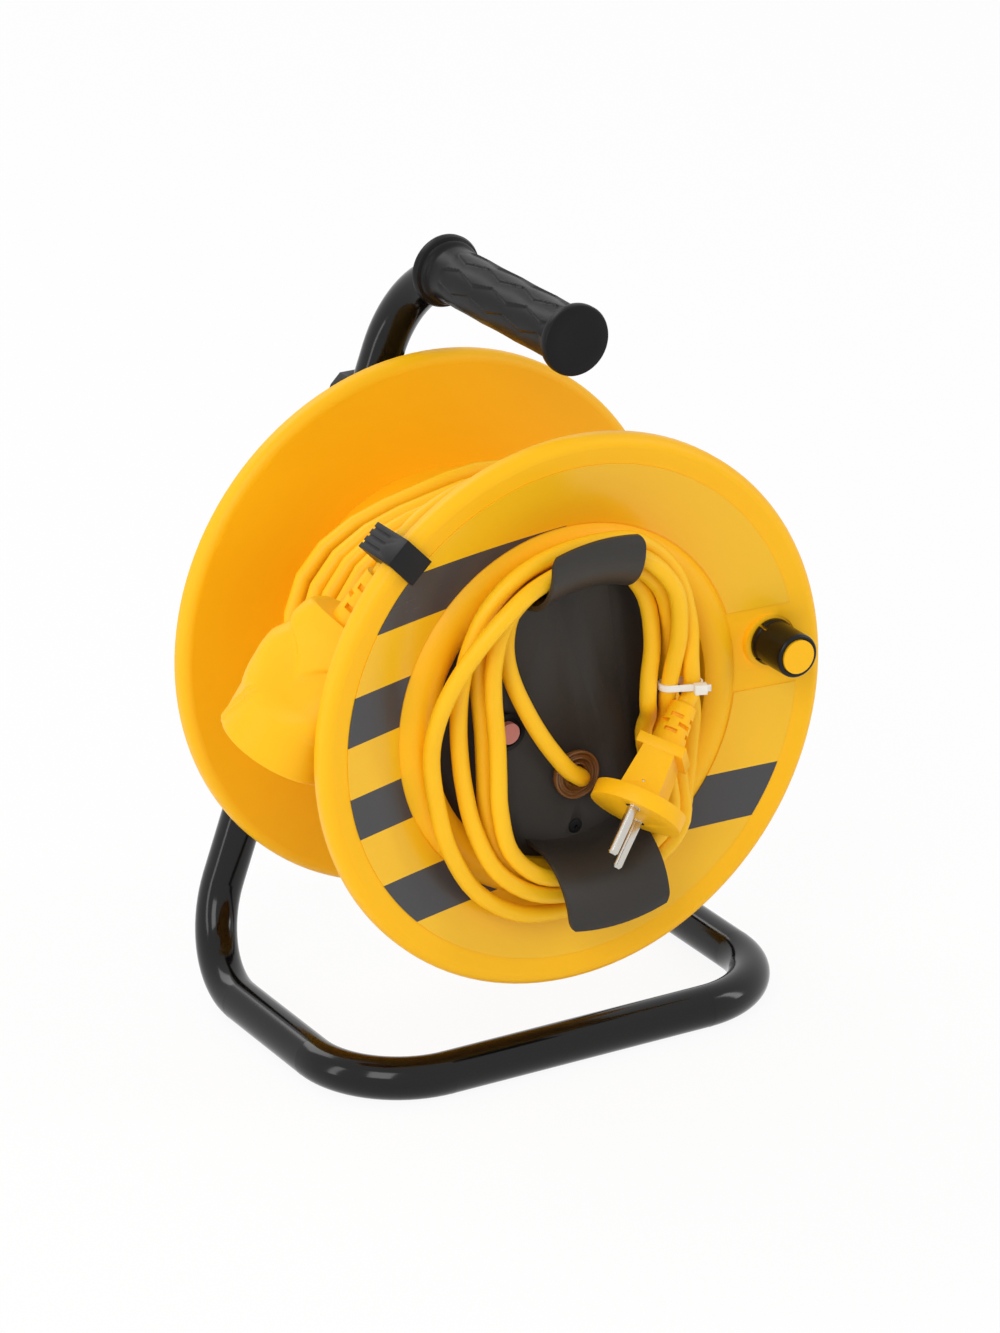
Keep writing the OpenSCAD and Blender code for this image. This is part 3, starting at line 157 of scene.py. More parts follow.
def buildScuffs(look):  # thin short handling marks, as a mask from 0 to 1
    group, ins, outs = newGroup("handlingScuffs", [
        ("Coords", "NodeSocketVector", None), ("Scale", "NodeSocketFloat", look["scale"]),
        ("Amount", "NodeSocketFloat", look["amount"])], [("Mask", "NodeSocketFloat")])

    def above(noise, start, contrast):
        over = mathNode(group, "SUBTRACT", noise.outputs["Fac"], start)
        return mathNode(group, "MULTIPLY", over, contrast, True)

    stretch = addNode(group, "ShaderNodeMapping", Scale=look["stretch"], Rotation=look["slant"])
    marks = addNode(group, "ShaderNodeTexNoise", Detail=4.0, Roughness=0.7)
    patches = addNode(group, "ShaderNodeTexNoise", Scale=look["patchScale"], Detail=1.0)
    group.links.new(ins.outputs["Coords"], stretch.inputs["Vector"])
    group.links.new(stretch.outputs["Vector"], marks.inputs["Vector"])
    group.links.new(ins.outputs["Scale"], marks.inputs["Scale"])
    group.links.new(ins.outputs["Coords"], patches.inputs["Vector"])
    peak = above(marks, look["markFrom"], look["markContrast"])
    where = above(patches, look["patchFrom"], look["patchContrast"])
    spots = mathNode(group, "MULTIPLY", peak, where)
    mask = mathNode(group, "MULTIPLY", spots, ins.outputs["Amount"])
    group.links.new(mask, outs.inputs["Mask"])
    return group


grainGroup = buildGrain(grainLook)
scuffGroup = buildScuffs(scuffLook)


def startMaterial(name, base, roughness, **shaderValues):
    material = bpy.data.materials.new(name)
    material.use_nodes = True
    tree = material.node_tree
    shader = tree.nodes["Principled BSDF"]
    shader.inputs["Base Color"].default_value = base
    shader.inputs["Roughness"].default_value = roughness
    for key, value in shaderValues.items():
        shader.inputs[key.replace("_", " ")].default_value = value
    material.diffuse_color = base
    return material, tree, shader


def mouldedFinish(name, base, deep, roughness, grain=(500.0, 14.0), bump=0.08, depth=0.0002,
                  roughSpan=0.08, scuffs=0.25, **shaderValues):
    # colour that drifts slowly between two tones, grain in the surface, light scuffs in the gloss
    material, tree, shader = startMaterial(name, base, roughness, **shaderValues)
    coords = addNode(tree, "ShaderNodeTexCoord")
    grainNode = addNode(tree, "ShaderNodeGroup", node_tree=grainGroup)
    grainNode.inputs["Scale"].default_value = grain[0]
    grainNode.inputs["Swell"].default_value = grain[1]
    scuffNode = addNode(tree, "ShaderNodeGroup", node_tree=scuffGroup)
    scuffNode.inputs["Amount"].default_value = scuffs
    tree.links.new(coords.outputs["Object"], grainNode.inputs["Coords"])
    tree.links.new(coords.outputs["Object"], scuffNode.inputs["Coords"])
    tones = addNode(tree, "ShaderNodeMix", data_type="RGBA")
    tones.inputs[6].default_value = base
    tones.inputs[7].default_value = deep
    tree.links.new(grainNode.outputs["Tone"], tones.inputs["Factor"])
    tree.links.new(tones.outputs[2], shader.inputs["Base Color"])
    spread = mathNode(tree, "MULTIPLY", grainNode.outputs["Tone"], roughSpan)
    rough = mathNode(tree, "ADD", spread, roughness - roughSpan / 2)
    rough = mathNode(tree, "ADD", rough, scuffNode.outputs["Mask"], True)
    tree.links.new(rough, shader.inputs["Roughness"])
    relief = addNode(tree, "ShaderNodeBump", Strength=bump, Distance=depth)
    tree.links.new(grainNode.outputs["Height"], relief.inputs["Height"])
    tree.links.new(relief.outputs["Normal"], shader.inputs["Normal"])
    return material


amberPlastic = mouldedFinish("amberPlastic", shade(255, 194, 22), shade(254, 186, 15), 0.42,
                             grain=(900.0, 10.0), bump=0.05, scuffs=0.12,
                             Specular_IOR_Level=0.22)
yellowPlastic = mouldedFinish("yellowPlastic", shade(255, 193, 24), shade(254, 186, 16), 0.44,
                              grain=(1200.0, 30.0), bump=0.06, scuffs=0.1,
                              Specular_IOR_Level=0.2)
yellowCord = mouldedFinish("yellowCord", shade(255, 199, 30), shade(254, 190, 20), 0.42,
                           grain=(1500.0, 40.0), bump=0.1, scuffs=0.15,
                           Specular_IOR_Level=0.25)
blackPlastic = mouldedFinish("blackPlastic", shade(26, 25, 25), shade(18, 18, 18), 0.42,
                             grain=(1100.0, 30.0), bump=0.16, scuffs=0.15,
                             Specular_IOR_Level=0.22)
gripRubber = mouldedFinish("gripRubber", shade(24, 24, 25), shade(17, 17, 18), 0.36,
                           grain=(1300.0, 30.0), bump=0.12, scuffs=0.15,
                           Specular_IOR_Level=0.14)
knobPlastic = mouldedFinish("knobPlastic", shade(18, 16, 15), shade(12, 11, 10), 0.24,
                            grain=(900.0, 30.0), bump=0.03, scuffs=0.1,
                            Specular_IOR_Level=0.25)
charcoalPlastic = mouldedFinish("charcoalPlastic", shade(56, 53, 50), shade(49, 46, 43), 0.46,
                                grain=(1400.0, 20.0), bump=0.2, scuffs=0.15,
                                Specular_IOR_Level=0.25)
framePaint = mouldedFinish("framePaint", shade(12, 11, 11), shade(8, 8, 8), 0.13,
                           grain=(260.0, 30.0), bump=0.03, roughSpan=0.04, scuffs=0.08,
                           Specular_IOR_Level=0.3)
zincSteel = mouldedFinish("zincSteel", shade(190, 190, 188), shade(165, 166, 168), 0.32,
                          grain=(800.0, 60.0), bump=0.05, Metallic=1.0)
darkSteel = mouldedFinish("darkSteel", shade(70, 70, 72), shade(52, 52, 55), 0.36,
                          grain=(800.0, 60.0), bump=0.05, Metallic=1.0)
whitePlastic = mouldedFinish("whitePlastic", shade(236, 233, 224), shade(226, 221, 209), 0.45)
pinkPlastic = mouldedFinish("pinkPlastic", shade(222, 150, 140), shade(205, 128, 120), 0.5,
                            grain=(1400.0, 60.0), bump=0.1)
contactBrass = mouldedFinish("contactBrass", shade(214, 178, 104), shade(190, 150, 82), 0.3,
                             Metallic=1.0)
pinNickel = mouldedFinish("pinNickel", shade(212, 208, 200), shade(190, 186, 178), 0.2,
                          grain=(600.0, 80.0), bump=0.04, Metallic=1.0)
brownPlastic = mouldedFinish("brownPlastic", shade(158, 106, 54), shade(120, 78, 38), 0.14,
                             grain=(400.0, 60.0), bump=0.05, Transmission_Weight=0.2, IOR=1.5)
clearNylon = mouldedFinish("clearNylon", shade(252, 250, 242), shade(246, 242, 230), 0.35,
                           grain=(900.0, 80.0), bump=0.06, Transmission_Weight=0.1, IOR=1.5)
print("finishes mixed")

slotFinish = {"frame_paint": framePaint, "grip_rubber": gripRubber,
              "black_plastic": blackPlastic, "zinc_steel": zincSteel,
              "dark_steel": darkSteel, "amber_plastic": amberPlastic,
              "yellow_plastic": yellowPlastic, "yellow_cord": yellowCord,
              "white_plastic": whitePlastic, "charcoal_plastic": charcoalPlastic,
              "brown_plastic": brownPlastic, "pink_plastic": pinkPlastic,
              "knob_plastic": knobPlastic, "contact_brass": contactBrass,
              "clear_nylon": clearNylon, "pin_nickel": pinNickel}


# cords
def smoothPath(points, per):  # a Catmull-Rom curve through the points, per steps between two
    points = [Vector(p) for p in points]
    ends = [points[0] * 2 - points[1], *points, points[-1] * 2 - points[-2]]
    out = []
    for i in range(1, len(ends) - 2):
        a, b, c, d = ends[i - 1:i + 3]
        for k in range(per):
            t = k / per
            out.append(0.5 * (2 * b + (c - a) * t + (2 * a - 5 * b + 4 * c - d) * t * t
                              + (3 * b - a - 3 * c + d) * t ** 3))
    return [*out, points[-1]]


def pathLength(points):
    return sum((b - a).length for a, b in zip(points, points[1:]))


def atTurn(r, turn, z):  # a point at a radius and a turn in degrees
    return Vector((r * math.cos(math.radians(turn)), r * math.sin(math.radians(turn)), z))


def cordTube(name, points, diameter, sides, material):  # a closed tube that follows the points
    mesh = bpy.data.meshes.new(name)
    shape = bmesh.new()
    around = shape.loops.layers.uv.new("cordUv")
    first = (points[1] - points[0]).normalized()
    normal = first.orthogonal().normalized()
    turns = [2 * math.pi * k / sides for k in range(sides)]
    rings, along, travel = [], [], 0.0
    for i, p in enumerate(points):
        ahead = points[min(i + 1, len(points) - 1)] - points[max(i - 1, 0)]
        ahead.normalize()
        normal = (normal - ahead * normal.dot(ahead)).normalized()
        side = ahead.cross(normal)
        if i:
            travel += (p - points[i - 1]).length
        along.append(travel)
        rings.append([shape.verts.new(p + diameter / 2 * (math.cos(a) * normal
                                                          + math.sin(a) * side))
                      for a in turns])
    for i in range(len(rings) - 1):
        for k in range(sides):
            m = (k + 1) % sides
            face = shape.faces.new((rings[i][k], rings[i][m], rings[i + 1][m], rings[i + 1][k]))
            face.smooth = True
            for loop, uv in zip(face.loops, ((along[i], k), (along[i], k + 1),
                                             (along[i + 1], k + 1), (along[i + 1], k))):
                loop[around].uv = (uv[0], uv[1] / sides)
    shape.faces.new(list(reversed(rings[0])))
    shape.faces.new(rings[-1])
    shape.to_mesh(mesh)
    shape.free()
    mesh.materials.append(material)
    piece = bpy.data.objects.new(name, mesh)
    scene.collection.objects.link(piece)
    return piece


cordSize = {"diameter": 0.0064, "tailSides": 16, "woundSides": 12}

# the plug's tail: out of the gland, then four and a bit turns round the horns
# each pass gives a radius and a height for its slots, and each stretch takes two of them
tailRoute = {
    "start": [(2.8, -25.9, -8), (2.8, -25.9, -0.5), (0.6, -24.3, 3.8), (-5.8, -19.2, 5.5),
              (-13, -9.9, 5.5), (-18.5, -1.2, 5), (-23.2, 8, 4.2), (-26.8, 16.6, 3.2),
              (-29, 24.5, 2.4), (-29.8, 32, 2), (-29, 39.5, 2), (-26.8, 46, 2.4)],
    "angles": [115, 73, 4, -25, -62, -110, -176],
    "slots": [0, 0, 1, 2, 3, 4, 5],
    "steps": [3, 4, 2, 3, 3, 4, 5],
    "passes": [
        [(56.6, 3), (26.4, 8), (32.8, 0), (62.5, 4), (62.5, 4), (38, 0)],
        [(63.9, 4.2), (47.8, 0.8), (54.5, 0.2), (69.6, 3.4), (76, 5.5), (61.7, 4)],
        [(64, 17), (34.6, 8), (40.1, 0), (59.5, 10.5), (59.5, 10.5), (36.8, 8)],
        [(59.5, 10.5), (39.3, 0.8), (47.2, 0), (66.4, 9.8), (66.4, 9.8), (49, 2)],
        [(68.5, 10.8), (42.5, 11.6)]],
    "rides": {(0, 1): -1, (1, 1): 0.6, (1, 3): 2.3, (1, 6): 3.5, (2, 1): 2.3, (2, 3): 4,
              (3, 3): 3.8},
    "lastStretches": 2, "lastSlot": 2,
    "early": 1, "earlyEase": 0.8,  # the stretch that leaves its pass sooner
    "straight": (5, 6),  # the stretches that cross from horn to horn in a line
    "plugTop": (38.7, -1, 13), "plugRun": (-39.8, -46.1, 16.9), "plugLead": 6.4,
    "perStep": 4, "strandGap": 0.00655, "gapRounds": 16, "neighbours": 12,
    "length": 1.7}


def tailPoints(route):
    passes, angles, slots = route["passes"], route["angles"], route["slots"]
    found = list(route["start"])
    for k in range(len(passes)):
        isLast = k == len(passes) - 1
        for s in range(route["lastStretches"] if isLast else len(angles)):
            if isLast and s == route["lastStretches"] - 1:
                stretchEnd = passes[k][slots[route["lastSlot"]]]
            elif s < len(angles) - 1:
                stretchEnd = passes[k][slots[s + 1]]
            else:
                stretchEnd = passes[k + 1][0]
            nextAngle = angles[s + 1] if s < len(angles) - 1 else angles[0] - 360
            ease = route["earlyEase"] if s == route["early"] else 1
            for i in range(route["steps"][s]):
                t = i / route["steps"][s]
                eased = (1 - math.cos(math.pi * t ** ease)) / 2
                begin = passes[k][slots[s]]
                reach, height = (begin[j] + eased * (stretchEnd[j] - begin[j]) for j in (0, 1))
                if s in route["straight"]:
                    reach = 1 / ((1 - eased) / begin[0] + eased / stretchEnd[0])
                turn = math.radians(angles[s] + t * (nextAngle - angles[s]))
                height += math.sin(math.pi * t) * route["rides"].get((k, s), 0)
                found.append((reach * math.cos(turn), reach * math.sin(turn), height))
    top, run = Vector(route["plugTop"]), Vector(route["plugRun"]).normalized()
    found += [tuple(top - route["plugLead"] * run), tuple(top)]
    return [onDrum(*p) for p in found]


def keptApart(points, route):  # strands that cross too close are eased away from each other
    line = [p.copy() for p in points]
    gap = route["strandGap"]
    for _ in range(route["gapRounds"]):
        near = kdtree.KDTree(len(line))
        for i, p in enumerate(line):
            near.insert(p, i)
        near.balance()
        push = [Vector() for _ in line]
        for i, p in enumerate(line):
            for q, j, distance in near.find_range(p, gap):
                if abs(i - j) > route["neighbours"]:
                    push[i] += (p - q) * (gap - distance) / (2 * distance)
        for i in range(2, len(line) - 2):  # each push is spread over five points, 1 2 3 2 1
            line[i] += (push[i - 2] + 2 * push[i - 1] + 3 * push[i]
                        + 2 * push[i + 1] + push[i + 2]) / 9
    return line


tailLine = keptApart(smoothPath(tailPoints(tailRoute), tailRoute["perStep"]), tailRoute)
tailCord = cordTube("tailCord", tailLine, cordSize["diameter"], cordSize["tailSides"], yellowCord)
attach(tailCord, "drum")
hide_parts("tail_coil")
print("tail cord", round(pathLength(tailLine), 3), "m")

# the wound cord: two layers on the core, then the lead through the rim clip to the socket
woundRoute = {
    "underRadius": 64.85, "underTurns": 10.25, "outerRadius": 70.5, "outerTurns": 7.5,
    "pitch": 6.9, "frontZ": -11, "underRearZ": -77, "outerEndTurn": 60, "perTurn": 36,
    "climb": 300, "climbRise": 70,  # degrees between the layers, and those in which it rises
    "slack": [0.6, 1.6, 3, 3.9, 5.2, 6.2, 7.2, 8, 8.4], "slackTurn": 136, "slackRearTurn": 152,
    "slackTurns": 7.5, "slackWidth": 1.8, "climbSlack": 8, "rearShift": 1.2,
    "clip": (134.9, 0.875, -12), "rimReach": 30.5, "clipLead": 7,
    "socketRun": (0.418, 0.871, 0.26), "socketStub": 7.5,
    "lead": [(84, 0.27, -11), (94, 0.49, -11), (104, 0.7, -10.8), (114, 0.88, -10.6),
             (124, 0.96, -10.4)],
    "leadSteps": 8, "length": 8.0}


def rimPlace(route, turn, share, z):  # share runs from the winding out to the rim
    return atTurn(route["outerRadius"] + share * route["rimReach"], turn, z)


def slackAt(route, turn, fromFront):  # how far a turn of the outer layer hangs off the drum
    slack = route["slack"]
    k = max(0, min(len(slack) - 1.001, fromFront))
    swell = slack[int(k)] * (1 - k % 1) + slack[int(k) + 1] * (k % 1)
    rearShare = min(1, fromFront / route["slackTurns"])
    middle = route["slackTurn"] + (route["slackRearTurn"] - route["slackTurn"]) * rearShare
    away = abs((turn - middle + 180) % 360 - 180)
    return swell * math.cos(math.radians(min(90, away * route["slackWidth"]))) ** 2


def woundPoints(route):
    found = []
    step = 360 / route["perTurn"]
    underRadius, outerRadius, climb = route["underRadius"], route["outerRadius"], route["climb"]
    outerStart = route["outerEndTurn"] - 360 * route["outerTurns"]
    outerRearZ = route["frontZ"] - route["pitch"] * route["outerTurns"]
    underEnd = outerStart - climb
    count = round(route["underTurns"] * route["perTurn"])
    for i in range(count):  # the under layer, from front to rear
        share = i / count
        turn = underEnd - 360 * route["underTurns"] * (1 - share)
        z = route["frontZ"] + (route["underRearZ"] - route["frontZ"]) * share
        found.append((underRadius, turn, z))
    for i in range(round(climb / step)):  # the climb to the outer layer
        turned = i * step
        rise = (1 - math.cos(math.pi * min(1, turned / route["climbRise"]))) / 2
        r = underRadius + (outerRadius - underRadius) * rise
        slack = slackAt(route, underEnd + turned, route["climbSlack"])
        z = (route["underRearZ"] + (outerRearZ - route["underRearZ"]) * (turned / climb)
             - route["rearShift"] * slack)
        found.append((r + slack, underEnd + turned, z))
    count = round(route["outerTurns"] * route["perTurn"])
    for i in range(count + 1):  # the outer layer, back to the front
        turn, fromFront = outerStart + i * step, (count - i) / route["perTurn"]
        slack = slackAt(route, turn, fromFront)
        z = route["frontZ"] - route["pitch"] * fromFront - route["rearShift"] * slack
        found.append((outerRadius + slack, turn, z))
    wound = [atTurn(*p) for p in found]
    run = Vector(route["socketRun"]).normalized()
    clip = rimPlace(route, *route["clip"])
    lead = [wound[-1], *(rimPlace(route, *p) for p in route["lead"]),
            clip + route["clipLead"] * run, clip, clip - route["socketStub"] * run]
    leadLine = smoothPath([onDrum(*p) for p in lead], route["leadSteps"])
    return [onDrum(*p) for p in wound[:-1]] + leadLine


woundLine = woundPoints(woundRoute)
drumCord = cordTube("drumCord", woundLine, cordSize["diameter"], cordSize["woundSides"],
                    yellowCord)
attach(drumCord, "drum")
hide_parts("winding_core", "cord_winding", "connector_lead")
print("drum cord", round(pathLength(woundLine), 3), "m")


# helpers for the pieces
def onlySelect(piece):
    bpy.ops.object.select_all(action="DESELECT")
    piece.select_set(True)
    bpy.context.view_layer.objects.active = piece


def smoothBelow(piece, degrees):  # smooth shading where faces meet at less than this
    onlySelect(piece)
    bpy.ops.object.shade_smooth_by_angle(angle=math.radians(degrees))


def placePiece(piece, place):  # the place goes into the mesh, the object stays at the origin
    piece.data.transform(place)
    piece.matrix_world = Matrix()
    piece.data.update()


def standingOnDrum(x, y):  # the matrix that stands a piece up on the drum's front
    return lookFrame(Vector((1, 0, 0)), Vector((0, 0, 1)), Vector((0, -1, 0)), onDrum(x, y, 0))


def cutAway(piece, cutter):
    onlySelect(piece)
    cut = piece.modifiers.new("cutAway", "BOOLEAN")
    cut.object = cutter
    cut.solver = "EXACT"
    bpy.ops.object.modifier_apply(modifier=cut.name)
    bpy.data.objects.remove(cutter)


copyMerge = {"distance": 0.000002, "flatBelow": 0.3}


def mergedCopy(nodeName, pieceName):  # a node's loose triangles as one mesh, left in edit mode
    piece = bpy.data.objects.new(pieceName, nodes[nodeName].data.copy())
    scene.collection.objects.link(piece)
    onlySelect(piece)
    bpy.ops.object.mode_set(mode="EDIT")
    bpy.ops.mesh.select_all(action="SELECT")
    bpy.ops.mesh.remove_doubles(threshold=copyMerge["distance"])
    bpy.ops.mesh.customdata_custom_splitnormals_clear()
    bpy.ops.mesh.dissolve_limited(angle_limit=math.radians(copyMerge["flatBelow"]))
    return piece


# rounded copies of moulded nodes: how wide each one's edges are rounded
edgeWidths = {"front_flange": 0.0004, "rear_flange": 0.0004, "cord_horns": 0.0005,
              "rim_clip": 0.0004, "plug_body": 0.0012, "plug_sleeve": 0.0003,
              "connector_sleeve": 0.0003, "cable_tie": 0.0003, "yoke_front": 0.0006,
              "yoke_rear": 0.0006}
edgeRounding = {"segments": 2, "sharpAbove": 32, "smoothBelow": 40}


def roundedCopy(nodeName, pieceName, width, finish):
    piece = mergedCopy(nodeName, pieceName)
    bpy.ops.object.mode_set(mode="OBJECT")
    rounding = piece.modifiers.new("softEdges", "BEVEL")
    rounding.width = width
    rounding.segments = edgeRounding["segments"]
    rounding.limit_method = "ANGLE"
    rounding.angle_limit = math.radians(edgeRounding["sharpAbove"])
    rounding.use_clamp_overlap = True
    bpy.ops.object.modifier_apply(modifier=rounding.name)
    smoothBelow(piece, edgeRounding["smoothBelow"])
    piece.data.materials.clear()
    piece.data.materials.append(finish)
    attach(piece, bodyOf[nodeName])
    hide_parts(nodeName)
    return piece


softPieces = {}
for nodeName, width in edgeWidths.items():
    pieceName = "soft" + "".join(word.capitalize() for word in nodeName.split("_"))
    piece = roundedCopy(nodeName, pieceName, width, slotFinish[slotOf[nodeName]])
    softPieces[nodeName] = piece

# the plug's body stands a little wider round the feet of its pins
plugShape = {"side": (-0.546, 0.532, 0.642), "bodyReach": 15.2, "discStart": 38.4, "widen": 1.03}
plugAxis = drumDirection(*tailRoute["plugRun"])
plugSide = squareTo(drumDirection(*plugShape["side"]), plugAxis)
plugFrame = lookFrame(plugSide, plugAxis.cross(plugSide), plugAxis,
                      onDrum(*tailRoute["plugTop"]))
plugMesh = softPieces["plug_body"].data
plugMesh.transform(plugFrame.inverted())
for v in plugMesh.vertices:
    inBody = math.hypot(v.co.x, v.co.y) * 1000 < plugShape["bodyReach"]
    if inBody and v.co.z * 1000 < plugShape["discStart"]:
        v.co.x *= plugShape["widen"]
plugMesh.transform(plugFrame)

# the tie's tail is snipped short beside its head
tieShape = {"from": (34.8, 6.5, 8.9), "to": (42.4, 6.5, 11.65), "headEnd": 4.0, "tail": 2.2}
tieAcross = Vector(tieShape["to"]) - Vector(tieShape["from"])
tieLength = tieShape["headEnd"] + tieShape["tail"]
tieEnd = Vector(tieShape["to"]) + tieAcross.normalized() * tieLength
onlySelect(softPieces["cable_tie"])
bpy.ops.object.mode_set(mode="EDIT")
bpy.ops.mesh.select_all(action="SELECT")
bpy.ops.mesh.bisect(plane_co=onDrum(*tieEnd), plane_no=drumDirection(*tieAcross), use_fill=True,
                    clear_outer=True)
bpy.ops.object.mode_set(mode="OBJECT")
print("rounded copies made")


# turned pieces: a circle drawn out ring by ring
ringMerge = 0.00001


def turnedPiece(name, profile, sides, finish, hollow=False):
    # profile is a list of (radius, height) in millimetres, from the inside of the far end
    # round to the near one, and for a hollow ring it closes on its first point
    bpy.ops.object.select_all(action="DESELECT")
    r, z = profile[0]
    bpy.ops.mesh.primitive_circle_add(vertices=sides, radius=r / 1000, location=(0, 0, 0),
                                      fill_type="NOTHING" if hollow else "NGON")
    piece = bpy.context.object
    piece.name = name
    bpy.ops.object.mode_set(mode="EDIT")
    bpy.ops.mesh.select_all(action="SELECT")
    bpy.ops.transform.translate(value=(0, 0, z / 1000))
    for r2, z2 in profile[1:] + (profile[:1] if hollow else []):
        bpy.ops.mesh.extrude_region_move(TRANSFORM_OT_translate={"value": (0, 0, (z2 - z) / 1000)})
        bpy.ops.transform.resize(value=(r2 / r, r2 / r, 1), center_override=(0, 0, z2 / 1000))
        r, z = r2, z2
    bpy.ops.mesh.select_all(action="SELECT")
    if hollow:
        bpy.ops.mesh.remove_doubles(threshold=ringMerge)
    bpy.ops.mesh.normals_make_consistent(inside=False)
    bpy.ops.object.mode_set(mode="OBJECT")
    piece.data.materials.append(finish)
    return piece


def evenSteps(a, b, step):  # points from a towards b, without b
    count = max(1, round(math.dist(a, b) / step))
    return [tuple(u + (v - u) * i / count for u, v in zip(a, b)) for i in range(count)]


def densified(corners, step):
    found = []
    for a, b in zip(corners, corners[1:]):
        found += evenSteps(a, b, step)
    return [*found, corners[-1]]


def clamped(value):  # held between 0 and 1
    return min(1, max(0, value))


# grip: a rubber sleeve with rows of zigzag scales
gripShape = {"place": (8, 49, 276), "sides": 168, "smoothBelow": 38, "bodyRadius": 10.5,
             "body": (12, 90), "bodyStep": 0.7,
             "bore": (8.1, 16, 0.6), "boreStep": 1.6, "boreReach": 8.8,
             "collar": [(8.1, 0.6), (8.7, 0), (12.9, 0), (13.7, 0.8), (13.8, 2.2), (13.2, 3.6),
                        (12.2, 4), (12.0, 5.6), (11.4, 6.4), (10.7, 7.2), (10.5, 8.5)],
             "endDisc": [(10.6, 90.4), (12.6, 90.9), (13.1, 91.3), (13.25, 92), (13.25, 94),
                         (12.9, 94.7), (12.2, 95), (8, 94.8), (4, 94.6), (0.5, 94.6)],
             "boreEnd": (0.5, 17),
             "rowCount": 10, "rise": 0.75, "sunk": 0.55, "fall": 0.1, "period": 24, "swing": 1.5,
             "from": 14, "to": 88, "fade": 3,
             "bendFrom": 15, "bendRadius": 38, "bendTowards": (-0.337, -0.941)}


def scaleHeight(shape, angle, along):
    rowWidth = 2 * math.pi / shape["rowCount"]
    swing = shape["swing"] / shape["bodyRadius"]
    wave = 2 * abs(2 * ((along / shape["period"]) % 1) - 1) - 1
    rows = []
    first = math.floor(angle / rowWidth)
    for j in range(first - 1, first + 3):
        rows.append(j * rowWidth + swing * wave * (1 if j % 2 else -1))
    below = max((edge for edge in rows if edge <= angle), default=rows[0])
    above = min((edge for edge in rows if edge > angle), default=rows[-1])
    t = (angle - below) / (above - below)
    fall = shape["fall"]  # the share of a row in which its surface drops to the next
    height = t / (1 - fall) if t < 1 - fall else (1 - t) / fall
    fade = (clamped((along - shape["from"]) / shape["fade"])
            * clamped((shape["to"] - along) / shape["fade"]))
    return shape["rise"] * (height - shape["sunk"]) * fade


def makeGrip(shape):
    body = shape["bodyRadius"]
    boreRadius, boreDeep, boreMouth = shape["bore"]
    bodyStart, bodyEnd = shape["body"]
    profile = [shape["boreEnd"],
               *evenSteps((boreRadius, boreDeep), (boreRadius, boreMouth), shape["boreStep"]),
               *shape["collar"],
               *densified([(body, bodyStart), (body, bodyEnd)], shape["bodyStep"]),
               *shape["endDisc"]]
    piece = turnedPiece("zigzagGrip", profile, shape["sides"], gripRubber)
    for v in piece.data.vertices:
        r = math.hypot(v.co.x, v.co.y) * 1000
        if abs(r - body) < 0.05 and shape["from"] < v.co.z * 1000 < shape["to"]:
            turn = math.atan2(v.co.y, v.co.x) % (2 * math.pi)
            k = 1 + scaleHeight(shape, turn, v.co.z * 1000) / r
            v.co.x *= k
            v.co.y *= k
        over = shape["bendFrom"] - v.co.z * 1000
        if r < shape["boreReach"] and over > 0:  # the bore follows the tube's bend
            drop = shape["bendRadius"] - math.sqrt(shape["bendRadius"] ** 2 - over ** 2)
            v.co.x += drop * shape["bendTowards"][0] / 1000
            v.co.y += drop * shape["bendTowards"][1] / 1000
    placePiece(piece, lookFrame(Vector((1, 0, 0)), Vector((0, 0, 1)), Vector((0, -1, 0)),
                                Vector(shape["place"]) / 1000))
    smoothBelow(piece, shape["smoothBelow"])
    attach(piece, "stand")
    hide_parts("handle_grip")


makeGrip(gripShape)
print("grip turned")

# socket on the free end: round at the mouth, scooped for the thumb, flat at the neck
socketShape = {"side": (0.304, -0.396, 0.866), "bodyLength": 56, "sleeveLength": 20.5,
               "sides": 168, "smoothBelow": 35, "wallStep": 0.9,
               "mouth": [(0.5, 16), (18, 16), (18.5, 15.5), (18.5, 1), (19.2, 0.2), (21.6, 0.2),
                         (22.2, 0.4)],
               "wall": [(22.5, 1), (22.5, 6), (22.8, 20), (23.5, 30), (23.3, 37), (20.5, 43),
                        (18.9, 50), (18, 53.5), (16.5, 55.4), (14.5, 56), (7.6, 56)],
               "recess": (18.6, 17),  # the radius and depth that stay round
               "halfHeights": [(0, 23.5), (14, 23.5), (20, 22.5), (30, 15), (42, 12.6), (50, 12),
                               (56, 8.6)],
               "averaged": (-4, -2, 0, 2, 4), "squareness": 1.6, "squareFrom": 16,
               "squareOver": 16,
               "scoopFrom": (-16.7, 44), "scoopTo": (0.6, 31.7), "scoopDepth": 3.2,
               "scoopReach": 13, "scoopBow": 1.6, "scoopLip": 0.5, "scoopFade": 1.1,
               "scoopHollow": 1.4, "scoopNarrows": 0.45, "scoopSide": 2.2,
               "railTurns": (33, 41), "railSlant": 1.35, "railHeight": 0.8, "railEnd": 22,
               "railWidth": 1.9, "railRunOut": 2, "railRunIn": 1.5,
               "smoothBeyond": 0.0095, "smoothFrom": 0.026, "smoothTo": 0.0545,
               "smoothFactor": 0.5, "smoothRounds": 3,
               "holeRadius": 0.00245, "holeDepth": 0.03, "holeMiddle": 28, "holeOffset": 0.0095,
               "holeSides": 32}


